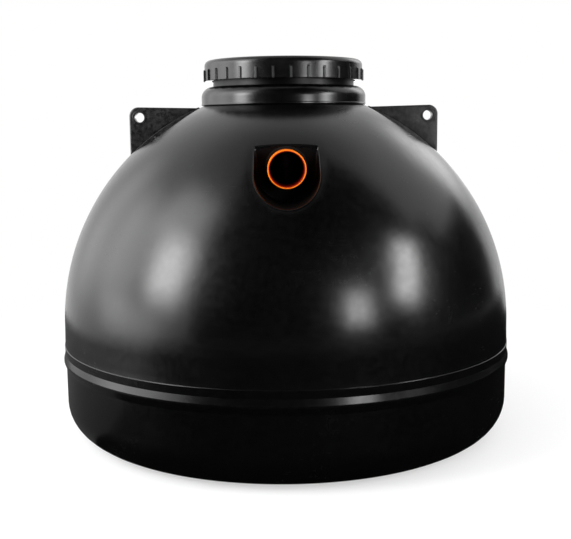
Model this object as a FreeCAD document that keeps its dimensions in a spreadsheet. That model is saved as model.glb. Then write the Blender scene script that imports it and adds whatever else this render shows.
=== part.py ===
import FreeCAD, Part
import math
import os
import Sketcher

# Domed plastic septic tank with a screw lid, in millimetres.
# Z is up, the axis of the tank is Z, and the origin is the middle of its floor.
# The inlet is on the -Y side, the outlet on the +Y side, and the lifting ears on X.

doc = FreeCAD.newDocument("septic_tank")

# Driving dimensions

DRIVING = [
    ("shell_thickness", 8.0, "wall of the moulded shell"),
    ("seat_gap", 0.3, "play between two curved pieces that seat on each other"),
    ("skirt_radius", 744.6, "outside of the base skirt"),
    ("base_edge_radius", 115.0, "rounding between floor and skirt"),
    ("belt_foot_height", 236.0, "where the belt's lower chamfer starts"),
    ("belt_chamfer_rise", 26.0, "height of the lower chamfer"),
    ("belt_proud", 7.4, "how far the bead stands out from the skirt"),
    ("bead_width", 8.0, "upright face of the bead"),
    ("ledge_rise", 10.0, "height of the ledge over the bead"),
    ("band_proud", 3.8, "how far the band over the bead stands out from the skirt"),
    ("band_width", 22.0, "upright face of the band, up to its thin lip"),
    ("lip_step", 1.8, "how far the wall stands back from the lip"),
    ("wall_rise", 60.5, "height of the wall from the lip to the dome"),
    ("wall_taper", 1.6, "how much the wall narrows towards the dome"),
    ("shoulder_arc", 781.8, "radius of the dome's lower arc"),
    ("shoulder_angle", 45.7, "degrees of the lower arc"),
    ("crown_arc", 716.3, "radius of the dome's upper arc"),
    ("neck_radius", 262.0, "outside of the neck at the dome"),
    ("collar_overhang", 11.5, "how far the collar reaches over the neck"),
    ("collar_foot_gap", 0.5, "open gap under the collar's lower edge"),
    ("collar_edge_radius", 3.0, "rounding of the collar's lower edge"),
    ("collar_height", 61.2, "from the collar's lower edge to its top"),
    ("collar_shoulder_radius", 35.0, "rounding of the collar's top"),
    ("ring_inset", 39.5, "from the outside of the collar to that of the threaded ring"),
    ("ring_thickness", 12.0, "wall of the neck ring"),
    ("ring_height", 62.0, "height of the neck ring over the collar"),
    ("seal_thickness", 5.0, "flat seal between ring and lid"),
    ("thread_play", 6.0, "radial room between ring and lid skirt"),
    ("lid_wall", 22.0, "wall of the lid's skirt"),
    ("lid_gap", 18.4, "from the collar's top to the lid's lower edge"),
    ("lid_plate", 7.4, "thickness of the lid's plate"),
    ("lid_rim_height", 10.0, "rim over the lid's plate"),
    ("lid_rim_width", 22.0, "width of the rim"),
    ("lid_shoulder_width", 8.0, "how far the top edge stands in from the skirt"),
    ("lid_shoulder_drop", 18.0, "height of the lid's rounded shoulder"),
    ("lid_shoulder_radius", 24.5, "rounding of the lid's shoulder"),
    ("grip_depth", 4.9, "how far a grip rib stands out"),
    ("grip_width", 7.0, "width of a grip rib"),
    ("grip_height", 37.0, "height of a grip rib"),
    ("grip_count", 30, "grip ribs round the lid"),
    ("top_rib_count", 8, "radial ribs on the lid's plate"),
    ("top_rib_width", 8.0, "width of a radial rib"),
    ("top_rib_height", 5.0, "height of a radial rib"),
    ("top_rib_inner", 50.0, "inner end of the radial ribs"),
    ("lid_rest_turn", -1.6, "degrees that the closed lid's ribs stand round from X"),
    ("ear_thickness", 40.0, "thickness of a lifting ear"),
    ("ear_length", 234.0, "top edge of an ear"),
    ("ear_gap", 19.0, "from the neck to the inner end of the top edge"),
    ("ear_drop", 9.0, "how far that end lies under the edge of the neck"),
    ("ear_rise", 5.2, "how much the top edge rises outwards"),
    ("ear_corner_radius", 32.0, "rounding of the ear's corner"),
    ("ear_root", 36.0, "depth of the ear's blank under the dome at its outer edge"),
    ("ear_root_drop", 70.0, "depth of the ear's blank at its inner end"),
    ("eye_radius", 16.0, "lifting hole in an ear"),
    ("eye_inset", 33.5, "centre of the lifting hole from the ear's outer edge"),
    ("eye_drop", 34.7, "centre of the lifting hole under the ear's top"),
    ("scoop_inset", 83.5, "valley of the scoop from the ear's outer edge"),
    ("scoop_depth", 26.8, "depth of the valley under the dome"),
    ("scoop_inner_slope", 35.4, "degrees that the inner facet falls"),
    ("scoop_outer_slope", 23.4, "degrees that the outer facet falls"),
    ("scoop_valley_radius", 60.0, "rounding of the valley"),
    ("scoop_turn", 24.4, "degrees that the valley runs inwards"),
    ("scoop_step", 1.5, "ledge between the ear's face and the wall of the scoop"),
    ("scoop_span", 260.0, "half width of the bar that cuts a scoop"),
    ("scoop_backing", 9.6, "depth of the inner surface under the scoop"),
    ("recess_width", 188.0, "width of the pipe recess"),
    ("recess_top_width", 183.0, "width of the recess at its top edge"),
    ("recess_drop", 122.5, "straight top edge of the recess under the edge of the neck"),
    ("recess_straight", 82.0, "from that edge to the centre of the round bottom"),
    ("recess_setback", 0.7, "flat back of the recess behind its top edge"),
    ("pipe_radius", 55.0, "outside of the pipes"),
    ("pipe_wall", 5.6, "wall of the pipes"),
    ("pipe_reach", 96.0, "free end of a stub before the back of the recess"),
    ("pipe_step", 1.5, "step behind the free end of a stub"),
    ("inlet_rise", 13.6, "centre of the inlet pipe over that of the round bottom"),
    ("outlet_drop", 30.0, "centre of the outlet pipe under that of the inlet"),
    ("seal_lip", 4.0, "how far the seal's lips reach over the panel"),
    ("seal_lip_thickness", 3.0, "thickness of one lip"),
    ("seal_body", 5.0, "rubber between pipe and panel"),
    ("tee_setback", 100.0, "upright run of the tees behind the back of the recess"),
    ("tee_wall", 4.0, "wall of the tees"),
    ("run_step", 1.0, "how much wider a tee's upright run is than its level branch"),
    ("socket_depth", 50.0, "depth of a tee's socket"),
    ("socket_wall", 7.0, "wall of a tee's socket"),
    ("tee_top_rise", 70.0, "open top of a tee over its branch"),
    ("tee_drop", 110.0, "lower end of a tee under its branch"),
    ("inlet_drop", 388.6, "lower end of the inlet's drop pipe under its stub"),
    ("outlet_dip", 438.6, "lower end of the outlet's dip pipe under its stub"),
]

sizes = doc.addObject("Spreadsheet::Sheet", "sizes")
for row, (alias, value, note) in enumerate(DRIVING, start=1):
    sizes.set("A%d" % row, note)
    sizes.set("B%d" % row, str(value))
    sizes.setAlias("B%d" % row, alias)
doc.recompute()

# Sizes that follow from the driving ones

DERIVED = [
    ("belt_radius", "sizes.skirt_radius + sizes.belt_proud"),
    ("band_radius", "sizes.skirt_radius + sizes.band_proud"),
    ("wall_foot_radius", "band_radius - sizes.lip_step"),
    ("wall_radius", "wall_foot_radius - sizes.wall_taper"),
    ("bead_foot_height", "sizes.belt_foot_height + sizes.belt_chamfer_rise"),
    ("bead_top_height", "bead_foot_height + sizes.bead_width"),
    ("band_foot_height", "bead_top_height + sizes.ledge_rise"),
    ("lip_height", "band_foot_height + sizes.band_width"),
    ("dome_foot_height", "lip_height + sizes.wall_rise"),
    ("skirt_inner", "sizes.skirt_radius - sizes.shell_thickness"),
    ("wall_foot_inner", "wall_foot_radius - sizes.shell_thickness"),
    ("wall_inner", "wall_radius - sizes.shell_thickness"),
    ("base_edge_inner", "sizes.base_edge_radius - sizes.shell_thickness"),
    ("floor_flat_radius", "sizes.skirt_radius - sizes.base_edge_radius"),
    ("shoulder_centre", "wall_radius - sizes.shoulder_arc"),
    ("crown_centre",
     "shoulder_centre + (sizes.shoulder_arc - sizes.crown_arc) * cos(sizes.shoulder_angle)"),
    ("crown_centre_height",
     "dome_foot_height + (sizes.shoulder_arc - sizes.crown_arc) * sin(sizes.shoulder_angle)"),
    ("shoulder_end", "shoulder_centre + sizes.shoulder_arc * cos(sizes.shoulder_angle)"),
    ("shoulder_end_height",
     "dome_foot_height + sizes.shoulder_arc * sin(sizes.shoulder_angle)"),
    ("shoulder_arc_inner", "sizes.shoulder_arc - sizes.shell_thickness"),
    ("crown_arc_inner", "sizes.crown_arc - sizes.shell_thickness"),
    ("shoulder_end_inner", "shoulder_centre + shoulder_arc_inner * cos(sizes.shoulder_angle)"),
    ("shoulder_end_inner_height",
     "dome_foot_height + shoulder_arc_inner * sin(sizes.shoulder_angle)"),
    ("neck_height",
     "crown_centre_height + sqrt(sizes.crown_arc ^ 2 - (sizes.neck_radius - crown_centre) ^ 2)"),
    ("neck_inner",
     "crown_centre + sqrt(crown_arc_inner ^ 2 - (neck_height - crown_centre_height) ^ 2)"),
    ("shoulder_arc_seat", "sizes.shoulder_arc + sizes.seat_gap"),
    ("crown_arc_seat", "sizes.crown_arc + sizes.seat_gap"),
    ("wall_seat", "wall_radius + sizes.seat_gap"),
    ("shoulder_end_seat", "shoulder_centre + shoulder_arc_seat * cos(sizes.shoulder_angle)"),
    ("shoulder_end_seat_height",
     "dome_foot_height + shoulder_arc_seat * sin(sizes.shoulder_angle)"),
    ("crown_seat_height",
     "crown_centre_height + sqrt(crown_arc_seat ^ 2 - (sizes.neck_radius - crown_centre) ^ 2)"),
    ("collar_radius", "sizes.neck_radius + sizes.collar_overhang"),
    ("collar_edge_flat", "collar_radius - sizes.collar_edge_radius"),
    ("collar_foot",
     "crown_centre_height + sqrt(sizes.crown_arc ^ 2 - (collar_edge_flat - crown_centre) ^ 2)"
     " + sizes.collar_foot_gap"),
    ("collar_top", "collar_foot + sizes.collar_height"),
    ("collar_inner", "collar_radius - sizes.shell_thickness"),
    ("collar_shoulder_inner", "sizes.collar_shoulder_radius - sizes.shell_thickness"),
    ("collar_top_flat", "collar_radius - sizes.collar_shoulder_radius"),
    ("collar_shoulder_foot", "collar_top - sizes.collar_shoulder_radius"),
    ("collar_roof", "collar_top - sizes.shell_thickness"),
    ("collar_floor", "neck_height + sizes.shell_thickness"),
    ("collar_edge_top", "collar_foot + sizes.collar_edge_radius"),
    ("ring_radius", "collar_radius - sizes.ring_inset"),
    ("ring_inner", "ring_radius - sizes.ring_thickness"),
    ("ring_top", "collar_top + sizes.ring_height"),
    ("seal_foot", "ring_top + sizes.seat_gap"),
    ("seal_top", "seal_foot + sizes.seal_thickness"),
    ("lid_inner", "ring_radius + sizes.thread_play"),
    ("lid_radius", "lid_inner + sizes.lid_wall"),
    ("lid_foot", "collar_top + sizes.lid_gap"),
    ("lid_plate_foot", "seal_top + sizes.seat_gap"),
    ("lid_plate_top", "lid_plate_foot + sizes.lid_plate"),
    ("lid_top", "lid_plate_top + sizes.lid_rim_height"),
    ("lid_shoulder_height", "lid_top - sizes.lid_shoulder_drop"),
    ("lid_rim_radius", "lid_radius - sizes.lid_shoulder_width"),
    ("lid_rim_inner", "lid_rim_radius - sizes.lid_rim_width"),
    ("grip_reach", "lid_radius + sizes.grip_depth"),
    ("grip_root", "lid_radius - sizes.grip_depth"),
    ("grip_half", "sizes.grip_width / 2"),
    ("top_rib_half", "sizes.top_rib_width / 2"),
    ("ear_inner", "sizes.neck_radius + sizes.ear_gap"),
    ("ear_reach", "ear_inner + sizes.ear_length"),
    ("ear_inner_height", "neck_height - sizes.ear_drop"),
    ("ear_top_height", "ear_inner_height + sizes.ear_rise"),
    ("ear_corner_start", "ear_reach - sizes.ear_corner_radius"),
    ("ear_corner_end_height", "ear_top_height - sizes.ear_corner_radius"),
    ("ear_inner_root_height", "ear_inner_height - sizes.ear_root_drop"),
    ("ear_root_height",
     "crown_centre_height + sqrt(sizes.crown_arc ^ 2 - (ear_reach - crown_centre) ^ 2)"
     " - sizes.ear_root"),
    ("eye_reach", "ear_reach - sizes.eye_inset"),
    ("eye_height", "ear_top_height - sizes.eye_drop"),
    ("scoop_reach", "ear_reach - sizes.scoop_inset"),
    ("scoop_height",
     "crown_centre_height + sqrt(sizes.crown_arc ^ 2 - (scoop_reach - crown_centre) ^ 2)"
     " - sizes.scoop_depth"),
    ("ear_half", "sizes.ear_thickness / 2"),
    ("recess_top_height", "neck_height - sizes.recess_drop"),
    ("recess_centre_height", "recess_top_height - sizes.recess_straight"),
    ("recess_panel",
     "crown_centre + sqrt(sizes.crown_arc ^ 2 - (recess_top_height - crown_centre_height) ^ 2)"
     " - sizes.recess_setback"),
    ("inlet_height", "recess_centre_height + sizes.inlet_rise"),
    ("outlet_height", "inlet_height - sizes.outlet_drop"),
    ("pipe_tip", "recess_panel + sizes.pipe_reach"),
    ("tee_centre", "recess_panel - sizes.tee_setback"),
    ("inlet_drop_end", "inlet_height - sizes.inlet_drop"),
    ("outlet_dip_end", "outlet_height - sizes.outlet_dip"),
    ("recess_half", "sizes.recess_width / 2"),
    ("recess_top_half", "sizes.recess_top_width / 2"),
    ("recess_outer_half", "recess_half + sizes.shell_thickness"),
    ("recess_outer_top_half", "recess_top_half + sizes.shell_thickness"),
    ("recess_outer_top", "recess_top_height + sizes.shell_thickness"),
    ("recess_outer_panel", "recess_panel - sizes.shell_thickness"),
    ("recess_hole_half", "recess_outer_half + sizes.seat_gap"),
    ("recess_hole_top_half", "recess_outer_top_half + sizes.seat_gap"),
    ("recess_hole_top", "recess_outer_top + sizes.seat_gap"),
    ("recess_hole_panel", "recess_outer_panel - sizes.seat_gap"),
    ("pipe_bore", "sizes.pipe_radius - sizes.pipe_wall"),
    ("pipe_root", "sizes.pipe_radius - sizes.pipe_step"),
    ("pipe_seat", "pipe_root + sizes.seat_gap"),
    ("drop_seat", "sizes.pipe_radius + sizes.seat_gap"),
    ("seal_outer", "pipe_seat + sizes.seal_body"),
    ("seal_lip_radius", "seal_outer + sizes.seal_lip"),
    ("panel_hole", "seal_outer + sizes.seat_gap"),
    ("seal_front", "recess_panel + sizes.seat_gap"),
    ("seal_back", "recess_outer_panel - sizes.seat_gap"),
    ("seal_front_face", "seal_front + sizes.seal_lip_thickness"),
    ("pipe_shoulder", "seal_front_face + sizes.seat_gap"),
    ("seal_back_face", "seal_back - sizes.seal_lip_thickness"),
    ("tee_outer", "pipe_bore + sizes.tee_wall"),
    ("run_bore", "pipe_bore + sizes.run_step"),
    ("run_outer", "tee_outer + sizes.run_step"),
    ("socket_outer", "drop_seat + sizes.socket_wall"),
    ("socket_mouth", "seal_back_face - sizes.seal_lip_thickness"),
    ("socket_floor", "socket_mouth - sizes.socket_depth"),
    ("pipe_end", "socket_floor + sizes.seat_gap"),
]

derived = doc.addObject("Spreadsheet::Sheet", "derived")
for row, (alias, formula) in enumerate(DERIVED, start=1):
    derived.set("A%d" % row, alias.replace("_", " "))
    derived.set("B%d" % row, "=" + formula)
    derived.setAlias("B%d" % row, alias)
doc.recompute()

DRIVING_NAMES = [entry[0] for entry in DRIVING]


def cell(alias):
    """Expression that reads a cell of either sheet."""
    sheet = "sizes" if alias in DRIVING_NAMES else "derived"
    return "%s.%s" % (sheet, alias)


def value(alias):
    """Number in a cell of either sheet."""
    sheet = sizes if alias in DRIVING_NAMES else derived
    return float(getattr(sheet, alias))


# Sketch and body helpers

def origin_plane(body, role):
    return [f for f in body.Origin.OriginFeatures if f.Role == role][0]


def arc_geometry(start, end, radius, centre_left):
    """Arc from start to end, with its centre left or right of the way."""
    chord = end - start
    middle = (start + end) * 0.5
    left = FreeCAD.Vector(-chord.y, chord.x, 0)
    left.normalize()
    rise = math.sqrt(max(radius ** 2 - (chord.Length / 2) ** 2, 0))
    centre = middle + left * (rise if centre_left else -rise)
    first, last = (start, end) if centre_left else (end, start)
    angles = [math.atan2(p.y - centre.y, p.x - centre.x) for p in (first, last)]
    circle = Part.Circle(centre, FreeCAD.Vector(0, 0, 1), radius)
    return Part.ArcOfCircle(circle, angles[0], angles[1])


def coordinate(spec):
    """Number and expression of an outline coordinate: an alias, -alias or 0."""
    if spec == "0":
        return 0.0, None
    if spec.startswith("-"):
        return -value(spec[1:]), "-" + cell(spec[1:])
    return value(spec), cell(spec)


def outline_sketch(body, name, plane_role, corners, arcs=None):
    """Closed outline through named coordinates, its sizes bound to the sheets.

    corners is a list of (across, up) names. arcs maps a corner's index to
    (radius name, centre on the left) for the edge that leaves that corner.
    """
    arcs = arcs or {}
    sketch = body.newObject("Sketcher::SketchObject", name)
    sketch.AttachmentSupport = [(origin_plane(body, plane_role), "")]
    sketch.MapMode = "FlatFace"
    points = []
    for across, up in corners:
        points.append(FreeCAD.Vector(coordinate(across)[0], coordinate(up)[0], 0))
    count = len(points)
    ends = []
    for index in range(count):
        start = points[index]
        end = points[(index + 1) % count]
        if index in arcs:
            radius_name, centre_left = arcs[index]
            geometry = arc_geometry(start, end, value(radius_name), centre_left)
            sketch.addGeometry(geometry, False)
            ends.append((1, 2) if centre_left else (2, 1))
        else:
            sketch.addGeometry(Part.LineSegment(start, end), False)
            ends.append((1, 2))
    for index in range(count):
        following = (index + 1) % count
        sketch.addConstraint(Sketcher.Constraint(
            "Coincident", index, ends[index][1], following, ends[following][0]))
    for index, (across, up) in enumerate(corners):
        for kind, axis_line, spec in (("DistanceX", -2, across), ("DistanceY", -1, up)):
            number, expression = coordinate(spec)
            vertex = (index, ends[index][0])
            if expression is None:
                sketch.addConstraint(Sketcher.Constraint(
                    "PointOnObject", vertex[0], vertex[1], axis_line))
            else:
                number_of = sketch.addConstraint(Sketcher.Constraint(
                    kind, -1, 1, vertex[0], vertex[1], number))
                sketch.setExpression("Constraints[%d]" % number_of, expression)
    for index, (radius_name, centre_left) in arcs.items():
        number_of = sketch.addConstraint(Sketcher.Constraint(
            "Radius", index, value(radius_name)))
        sketch.setExpression("Constraints[%d]" % number_of, cell(radius_name))
    return sketch


def new_body(label):
    body = doc.addObject("PartDesign::Body", label)
    body.Label = label
    return body


def turned_body(label, corners, arcs=None, plane_role="XZ_Plane", axis="V_Axis"):
    """Body turned from an outline about the upright or the level axis."""
    body = new_body(label)
    sketch = outline_sketch(body, label + "_outline", plane_role, corners, arcs)
    turning = body.newObject("PartDesign::Revolution", label + "_turning")
    turning.Profile = sketch
    turning.ReferenceAxis = (sketch, [axis])
    turning.Angle = 360.0
    sketch.Visibility = False
    return body


def cylinder(name, radius, foot, top, axis="Z", across="0", along="0"):
    """Part::Cylinder between two named stations on an upright or a level axis.

    An upright one stands at Y = along and runs in Z. A level one runs in Y
    at Z = along.
    """
    solid = doc.addObject("Part::Cylinder", name)
    solid.setExpression("Radius", radius)
    solid.setExpression("Height", "(%s) - (%s)" % (top, foot))
    if axis == "Z":
        solid.setExpression("Placement.Base.y", along)
        solid.setExpression("Placement.Base.z", foot)
    else:
        turn = FreeCAD.Rotation(FreeCAD.Vector(1, 0, 0), -90)
        solid.Placement = FreeCAD.Placement(FreeCAD.Vector(0, 0, 0), turn)
        solid.setExpression("Placement.Base.y", foot)
        solid.setExpression("Placement.Base.z", along)
    return solid


def cut(label, base, tool):
    result = doc.addObject("Part::Cut", label)
    result.Label = label
    result.Base = base
    result.Tool = tool
    return result


def fuse(label, shapes):
    result = doc.addObject("Part::MultiFuse", label)
    result.Label = label
    result.Shapes = shapes
    return result


def common(label, base, tool):
    result = doc.addObject("Part::Common", label)
    result.Label = label
    result.Base = base
    result.Tool = tool
    return result


HALF_TURN = FreeCAD.Rotation(FreeCAD.Vector(0, 0, 1), 180)
FIT_TOLERANCE = 0.01
nodes = []


def node(feature):
    nodes.append(feature)
    return feature


# Floor, skirt, belt and wall of the shell

def tank_floor():
    corners = [
        ("0", "0"), ("floor_flat_radius", "0"), ("skirt_radius", "base_edge_radius"),
        ("skirt_inner", "base_edge_radius"), ("floor_flat_radius", "shell_thickness"),
        ("0", "shell_thickness"),
    ]
    arcs = {1: ("base_edge_radius", True), 3: ("base_edge_inner", False)}
    return turned_body("tank_floor", corners, arcs)


def base_skirt():
    corners = [
        ("skirt_inner", "base_edge_radius"), ("skirt_radius", "base_edge_radius"),
        ("skirt_radius", "belt_foot_height"), ("skirt_inner", "belt_foot_height"),
    ]
    return turned_body("base_skirt", corners)


def belt_ring():
    corners = [
        ("skirt_inner", "belt_foot_height"), ("skirt_radius", "belt_foot_height"),
        ("belt_radius", "bead_foot_height"), ("belt_radius", "bead_top_height"),
        ("band_radius", "band_foot_height"), ("band_radius", "lip_height"),
        ("wall_foot_inner", "lip_height"),
    ]
    return turned_body("belt_ring", corners)


def tank_wall():
    corners = [
        ("wall_foot_inner", "lip_height"), ("wall_foot_radius", "lip_height"),
        ("wall_radius", "dome_foot_height"), ("wall_inner", "dome_foot_height"),
    ]
    return turned_body("tank_wall", corners)


# Dome

def dome_form(label, wall, shoulder_arc, shoulder_end, shoulder_end_height, crown_arc,
              crown, crown_height):
    """Solid under one surface of the dome, from its foot to the neck."""
    corners = [
        ("0", "dome_foot_height"), (wall, "dome_foot_height"),
        (shoulder_end, shoulder_end_height), (crown, crown_height), ("0", crown_height),
    ]
    arcs = {1: (shoulder_arc, True), 2: (crown_arc, True)}
    return turned_body(label, corners, arcs)


def dome_outer(label):
    return dome_form(label, "wall_radius", "shoulder_arc", "shoulder_end",
                     "shoulder_end_height", "crown_arc", "neck_radius", "neck_height")


def dome_inner(label):
    return dome_form(label, "wall_inner", "shoulder_arc_inner", "shoulder_end_inner",
                     "shoulder_end_inner_height", "crown_arc_inner", "neck_inner",
                     "neck_height")


def dome_seat(label):
    return dome_form(label, "wall_seat", "shoulder_arc_seat", "shoulder_end_seat",
                     "shoulder_end_seat_height", "crown_arc_seat", "neck_radius",
                     "crown_seat_height")


def recess_prism(label, half, top_half, top, panel, turn=None):
    """Bar with a straight top and a round bottom, from the panel outwards."""
    body = new_body(label)
    sketch = body.newObject("Sketcher::SketchObject", label + "_outline")
    sketch.AttachmentSupport = [(origin_plane(body, "XZ_Plane"), "")]
    sketch.MapMode = "FlatFace"
    half_width = value(half)
    top_width = value(top_half)
    centre = value("recess_centre_height")
    upper = value(top)
    corners = [
        FreeCAD.Vector(-top_width, upper, 0), FreeCAD.Vector(-half_width, centre, 0),
        FreeCAD.Vector(half_width, centre, 0), FreeCAD.Vector(top_width, upper, 0),
    ]
    sketch.addGeometry(Part.LineSegment(corners[0], corners[1]), False)
    bottom = Part.Circle(FreeCAD.Vector(0, centre, 0), FreeCAD.Vector(0, 0, 1), half_width)
    sketch.addGeometry(Part.ArcOfCircle(bottom, math.pi, 2 * math.pi), False)
    sketch.addGeometry(Part.LineSegment(corners[2], corners[3]), False)
    sketch.addGeometry(Part.LineSegment(corners[3], corners[0]), False)
    for first, first_end, second, second_end in (
            (0, 2, 1, 1), (1, 2, 2, 1), (2, 2, 3, 1), (3, 2, 0, 1)):
        sketch.addConstraint(Sketcher.Constraint(
            "Coincident", first, first_end, second, second_end))
    sketch.addConstraint(Sketcher.Constraint("Symmetric", 3, 1, 3, 2, -2))
    sketch.addConstraint(Sketcher.Constraint("PointOnObject", 1, 3, -2))
    sketch.addConstraint(Sketcher.Constraint("Horizontal", 1, 1, 1, 3))
    sketch.addConstraint(Sketcher.Constraint("Horizontal", 1, 2, 1, 3))
    for kind, arguments, number, alias in (
            ("Radius", (1,), half_width, half),
            ("DistanceX", (-1, 1, 2, 2), top_width, top_half),
            ("DistanceY", (-1, 1, 1, 3), centre, "recess_centre_height"),
            ("DistanceY", (-1, 1, 2, 2), upper, top)):
        number_of = sketch.addConstraint(Sketcher.Constraint(kind, *arguments, number))
        sketch.setExpression("Constraints[%d]" % number_of, cell(alias))
    pad = body.newObject("PartDesign::Pad", label + "_pad")
    pad.Profile = sketch
    pad.setExpression("Length", "%s - %s" % (cell("wall_radius"), cell(panel)))
    sketch.setExpression("AttachmentOffset.Base.z", cell(panel))
    sketch.Visibility = False
    if turn is not None:
        body.Placement = FreeCAD.Placement(FreeCAD.Vector(0, 0, 0), turn)
    return body


def scoop_prism(label, drop, start):
    """V-shaped bar that runs forward and inward from the ear's face.

    drop is how far its floor lies under the real scoop, and start where it
    begins along Y.
    """
    reach = value("scoop_reach")
    height = value("scoop_height") - drop
    run = value("scoop_span")
    inner = math.tan(math.radians(value("scoop_inner_slope")))
    outer = math.tan(math.radians(value("scoop_outer_slope")))
    turn = math.tan(math.radians(value("scoop_turn")))
    shift = (start + value("ear_half")) * turn
    corners = [
        FreeCAD.Vector(reach - run + shift, start, height + run * inner),
        FreeCAD.Vector(reach + shift, start, height),
        FreeCAD.Vector(reach + run + shift, start, height - run * outer),
        FreeCAD.Vector(reach + run + shift, start, height + run * inner),
    ]
    face = Part.Face(Part.makePolygon(corners + [corners[0]]))
    length = value("wall_radius")
    solid = face.extrude(FreeCAD.Vector(-length * turn, -length, 0))
    valley = [e for e in solid.Edges
              if abs(e.CenterOfMass.z - height) < FIT_TOLERANCE and e.Length > length]
    solid = solid.makeFillet(value("scoop_valley_radius"), valley)
    feature = doc.addObject("Part::Feature", label)
    feature.Shape = solid
    return feature


def mirrored(label, source, normal):
    feature = doc.addObject("Part::Mirroring", label)
    feature.Source = source
    feature.Normal = normal
    feature.Base = FreeCAD.Vector(0, 0, 0)
    return feature


def scoop_set(label, drop, start):
    """The four scoops, in front of and behind each ear."""
    front_right = scoop_prism(label + "_front_right", drop, start)
    front_left = mirrored(label + "_front_left", front_right, FreeCAD.Vector(1, 0, 0))
    back_right = mirrored(label + "_back_right", front_right, FreeCAD.Vector(0, 1, 0))
    back_left = mirrored(label + "_back_left", front_left, FreeCAD.Vector(0, 1, 0))
    return [front_right, front_left, back_right, back_left]


def dome_shell():
    """The whole dome with its scoops and the holes for the recesses."""
    outside = dome_outer("dome_outside")
    inside = dome_inner("dome_inside")
    front = -value("ear_half") - value("scoop_step")
    scoops = fuse("dome_scoops", scoop_set("scoop", 0.0, front))
    backings = fuse("dome_scoop_backings", scoop_set(
        "scoop_backing", value("scoop_backing"), value("ear_half")))
    scooped = cut("dome_scooped", outside, scoops)
    hollow = cut("dome_hollow", inside, backings)
    shell = cut("dome_closed", scooped, hollow)
    holes = fuse("dome_recess_holes", [
        recess_prism("inlet_recess_hole", "recess_hole_half", "recess_hole_top_half",
                     "recess_hole_top", "recess_hole_panel"),
        recess_prism("outlet_recess_hole", "recess_hole_half", "recess_hole_top_half",
                     "recess_hole_top", "recess_hole_panel", HALF_TURN),
    ])
    return cut("dome_shell", shell, holes)


def dome_quarter(label, shell, x_side, y_side):
    """Quarter of the dome between the planes X = 0 and Y = 0."""
    block = doc.addObject("Part::Box", label + "_block")
    for side in ("Length", "Width", "Height"):
        block.setExpression(side, "2 * " + cell("wall_radius"))
    block.setExpression("Placement.Base.x", "%d * %s" % (x_side, cell("wall_radius")))
    block.setExpression("Placement.Base.y", "%d * %s" % (y_side, cell("wall_radius")))
    return common(label, shell, block)


# Recesses round the pipes

def pipe_recess(label, height, turn=None):
    """Moulded recess with a flat back that the pipe comes through."""
    block = recess_prism(label + "_block", "recess_outer_half", "recess_outer_top_half",
                         "recess_outer_top", "recess_outer_panel")
    trimmed = common(label + "_trimmed", block, dome_outer(label + "_dome"))
    room = recess_prism(label + "_room", "recess_half", "recess_top_half",
                        "recess_top_height", "recess_panel")
    walls = cut(label + "_walls", trimmed, room)
    hole = cylinder(label + "_pipe_hole", cell("panel_hole"), "-" + cell("wall_radius"),
                    "-" + cell("tee_centre"), "Y", along=cell(height))
    recess = cut(label, walls, hole)
    if turn is not None:
        recess.Placement = FreeCAD.Placement(FreeCAD.Vector(0, 0, 0), turn)
    return recess


# Neck

def manhole_collar():
    corners = [
        ("neck_inner", "neck_height"), ("neck_radius", "neck_height"),
        ("collar_edge_flat", "collar_foot"), ("collar_radius", "collar_edge_top"),
        ("collar_radius", "collar_shoulder_foot"),
        ("collar_top_flat", "collar_top"), ("ring_inner", "collar_top"),
        ("ring_inner", "collar_roof"), ("collar_top_flat", "collar_roof"),
        ("collar_inner", "collar_shoulder_foot"), ("collar_inner", "collar_floor"),
        ("neck_inner", "collar_floor"),
    ]
    arcs = {
        2: ("collar_edge_radius", True),
        4: ("collar_shoulder_radius", True),
        8: ("collar_shoulder_inner", False),
    }
    return turned_body("manhole_collar", corners, arcs)


def neck_ring():
    corners = [
        ("ring_inner", "collar_top"), ("ring_radius", "collar_top"),
        ("ring_radius", "ring_top"), ("ring_inner", "ring_top"),
    ]
    return turned_body("neck_ring", corners)


# Lid

def lid_seal():
    corners = [
        ("ring_inner", "seal_foot"), ("ring_radius", "seal_foot"),
        ("ring_radius", "seal_top"), ("ring_inner", "seal_top"),
    ]
    return turned_body("lid_seal", corners)


def rib(body, name, corners, height, length, count):
    """Rib padded up from a height and repeated round the axis."""
    sketch = outline_sketch(body, name + "_outline", "XY_Plane", corners)
    sketch.setExpression("AttachmentOffset.Base.z", height)
    pad = body.newObject("PartDesign::Pad", name)
    pad.Profile = sketch
    pad.setExpression("Length", length)
    pattern = body.newObject("PartDesign::PolarPattern", name + "_pattern")
    pattern.Originals = [pad]
    pattern.Axis = (sketch, ["N_Axis"])
    pattern.Angle = 360
    pattern.setExpression("Occurrences", count)
    body.Tip = pattern
    sketch.Visibility = False
    return pattern


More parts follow.
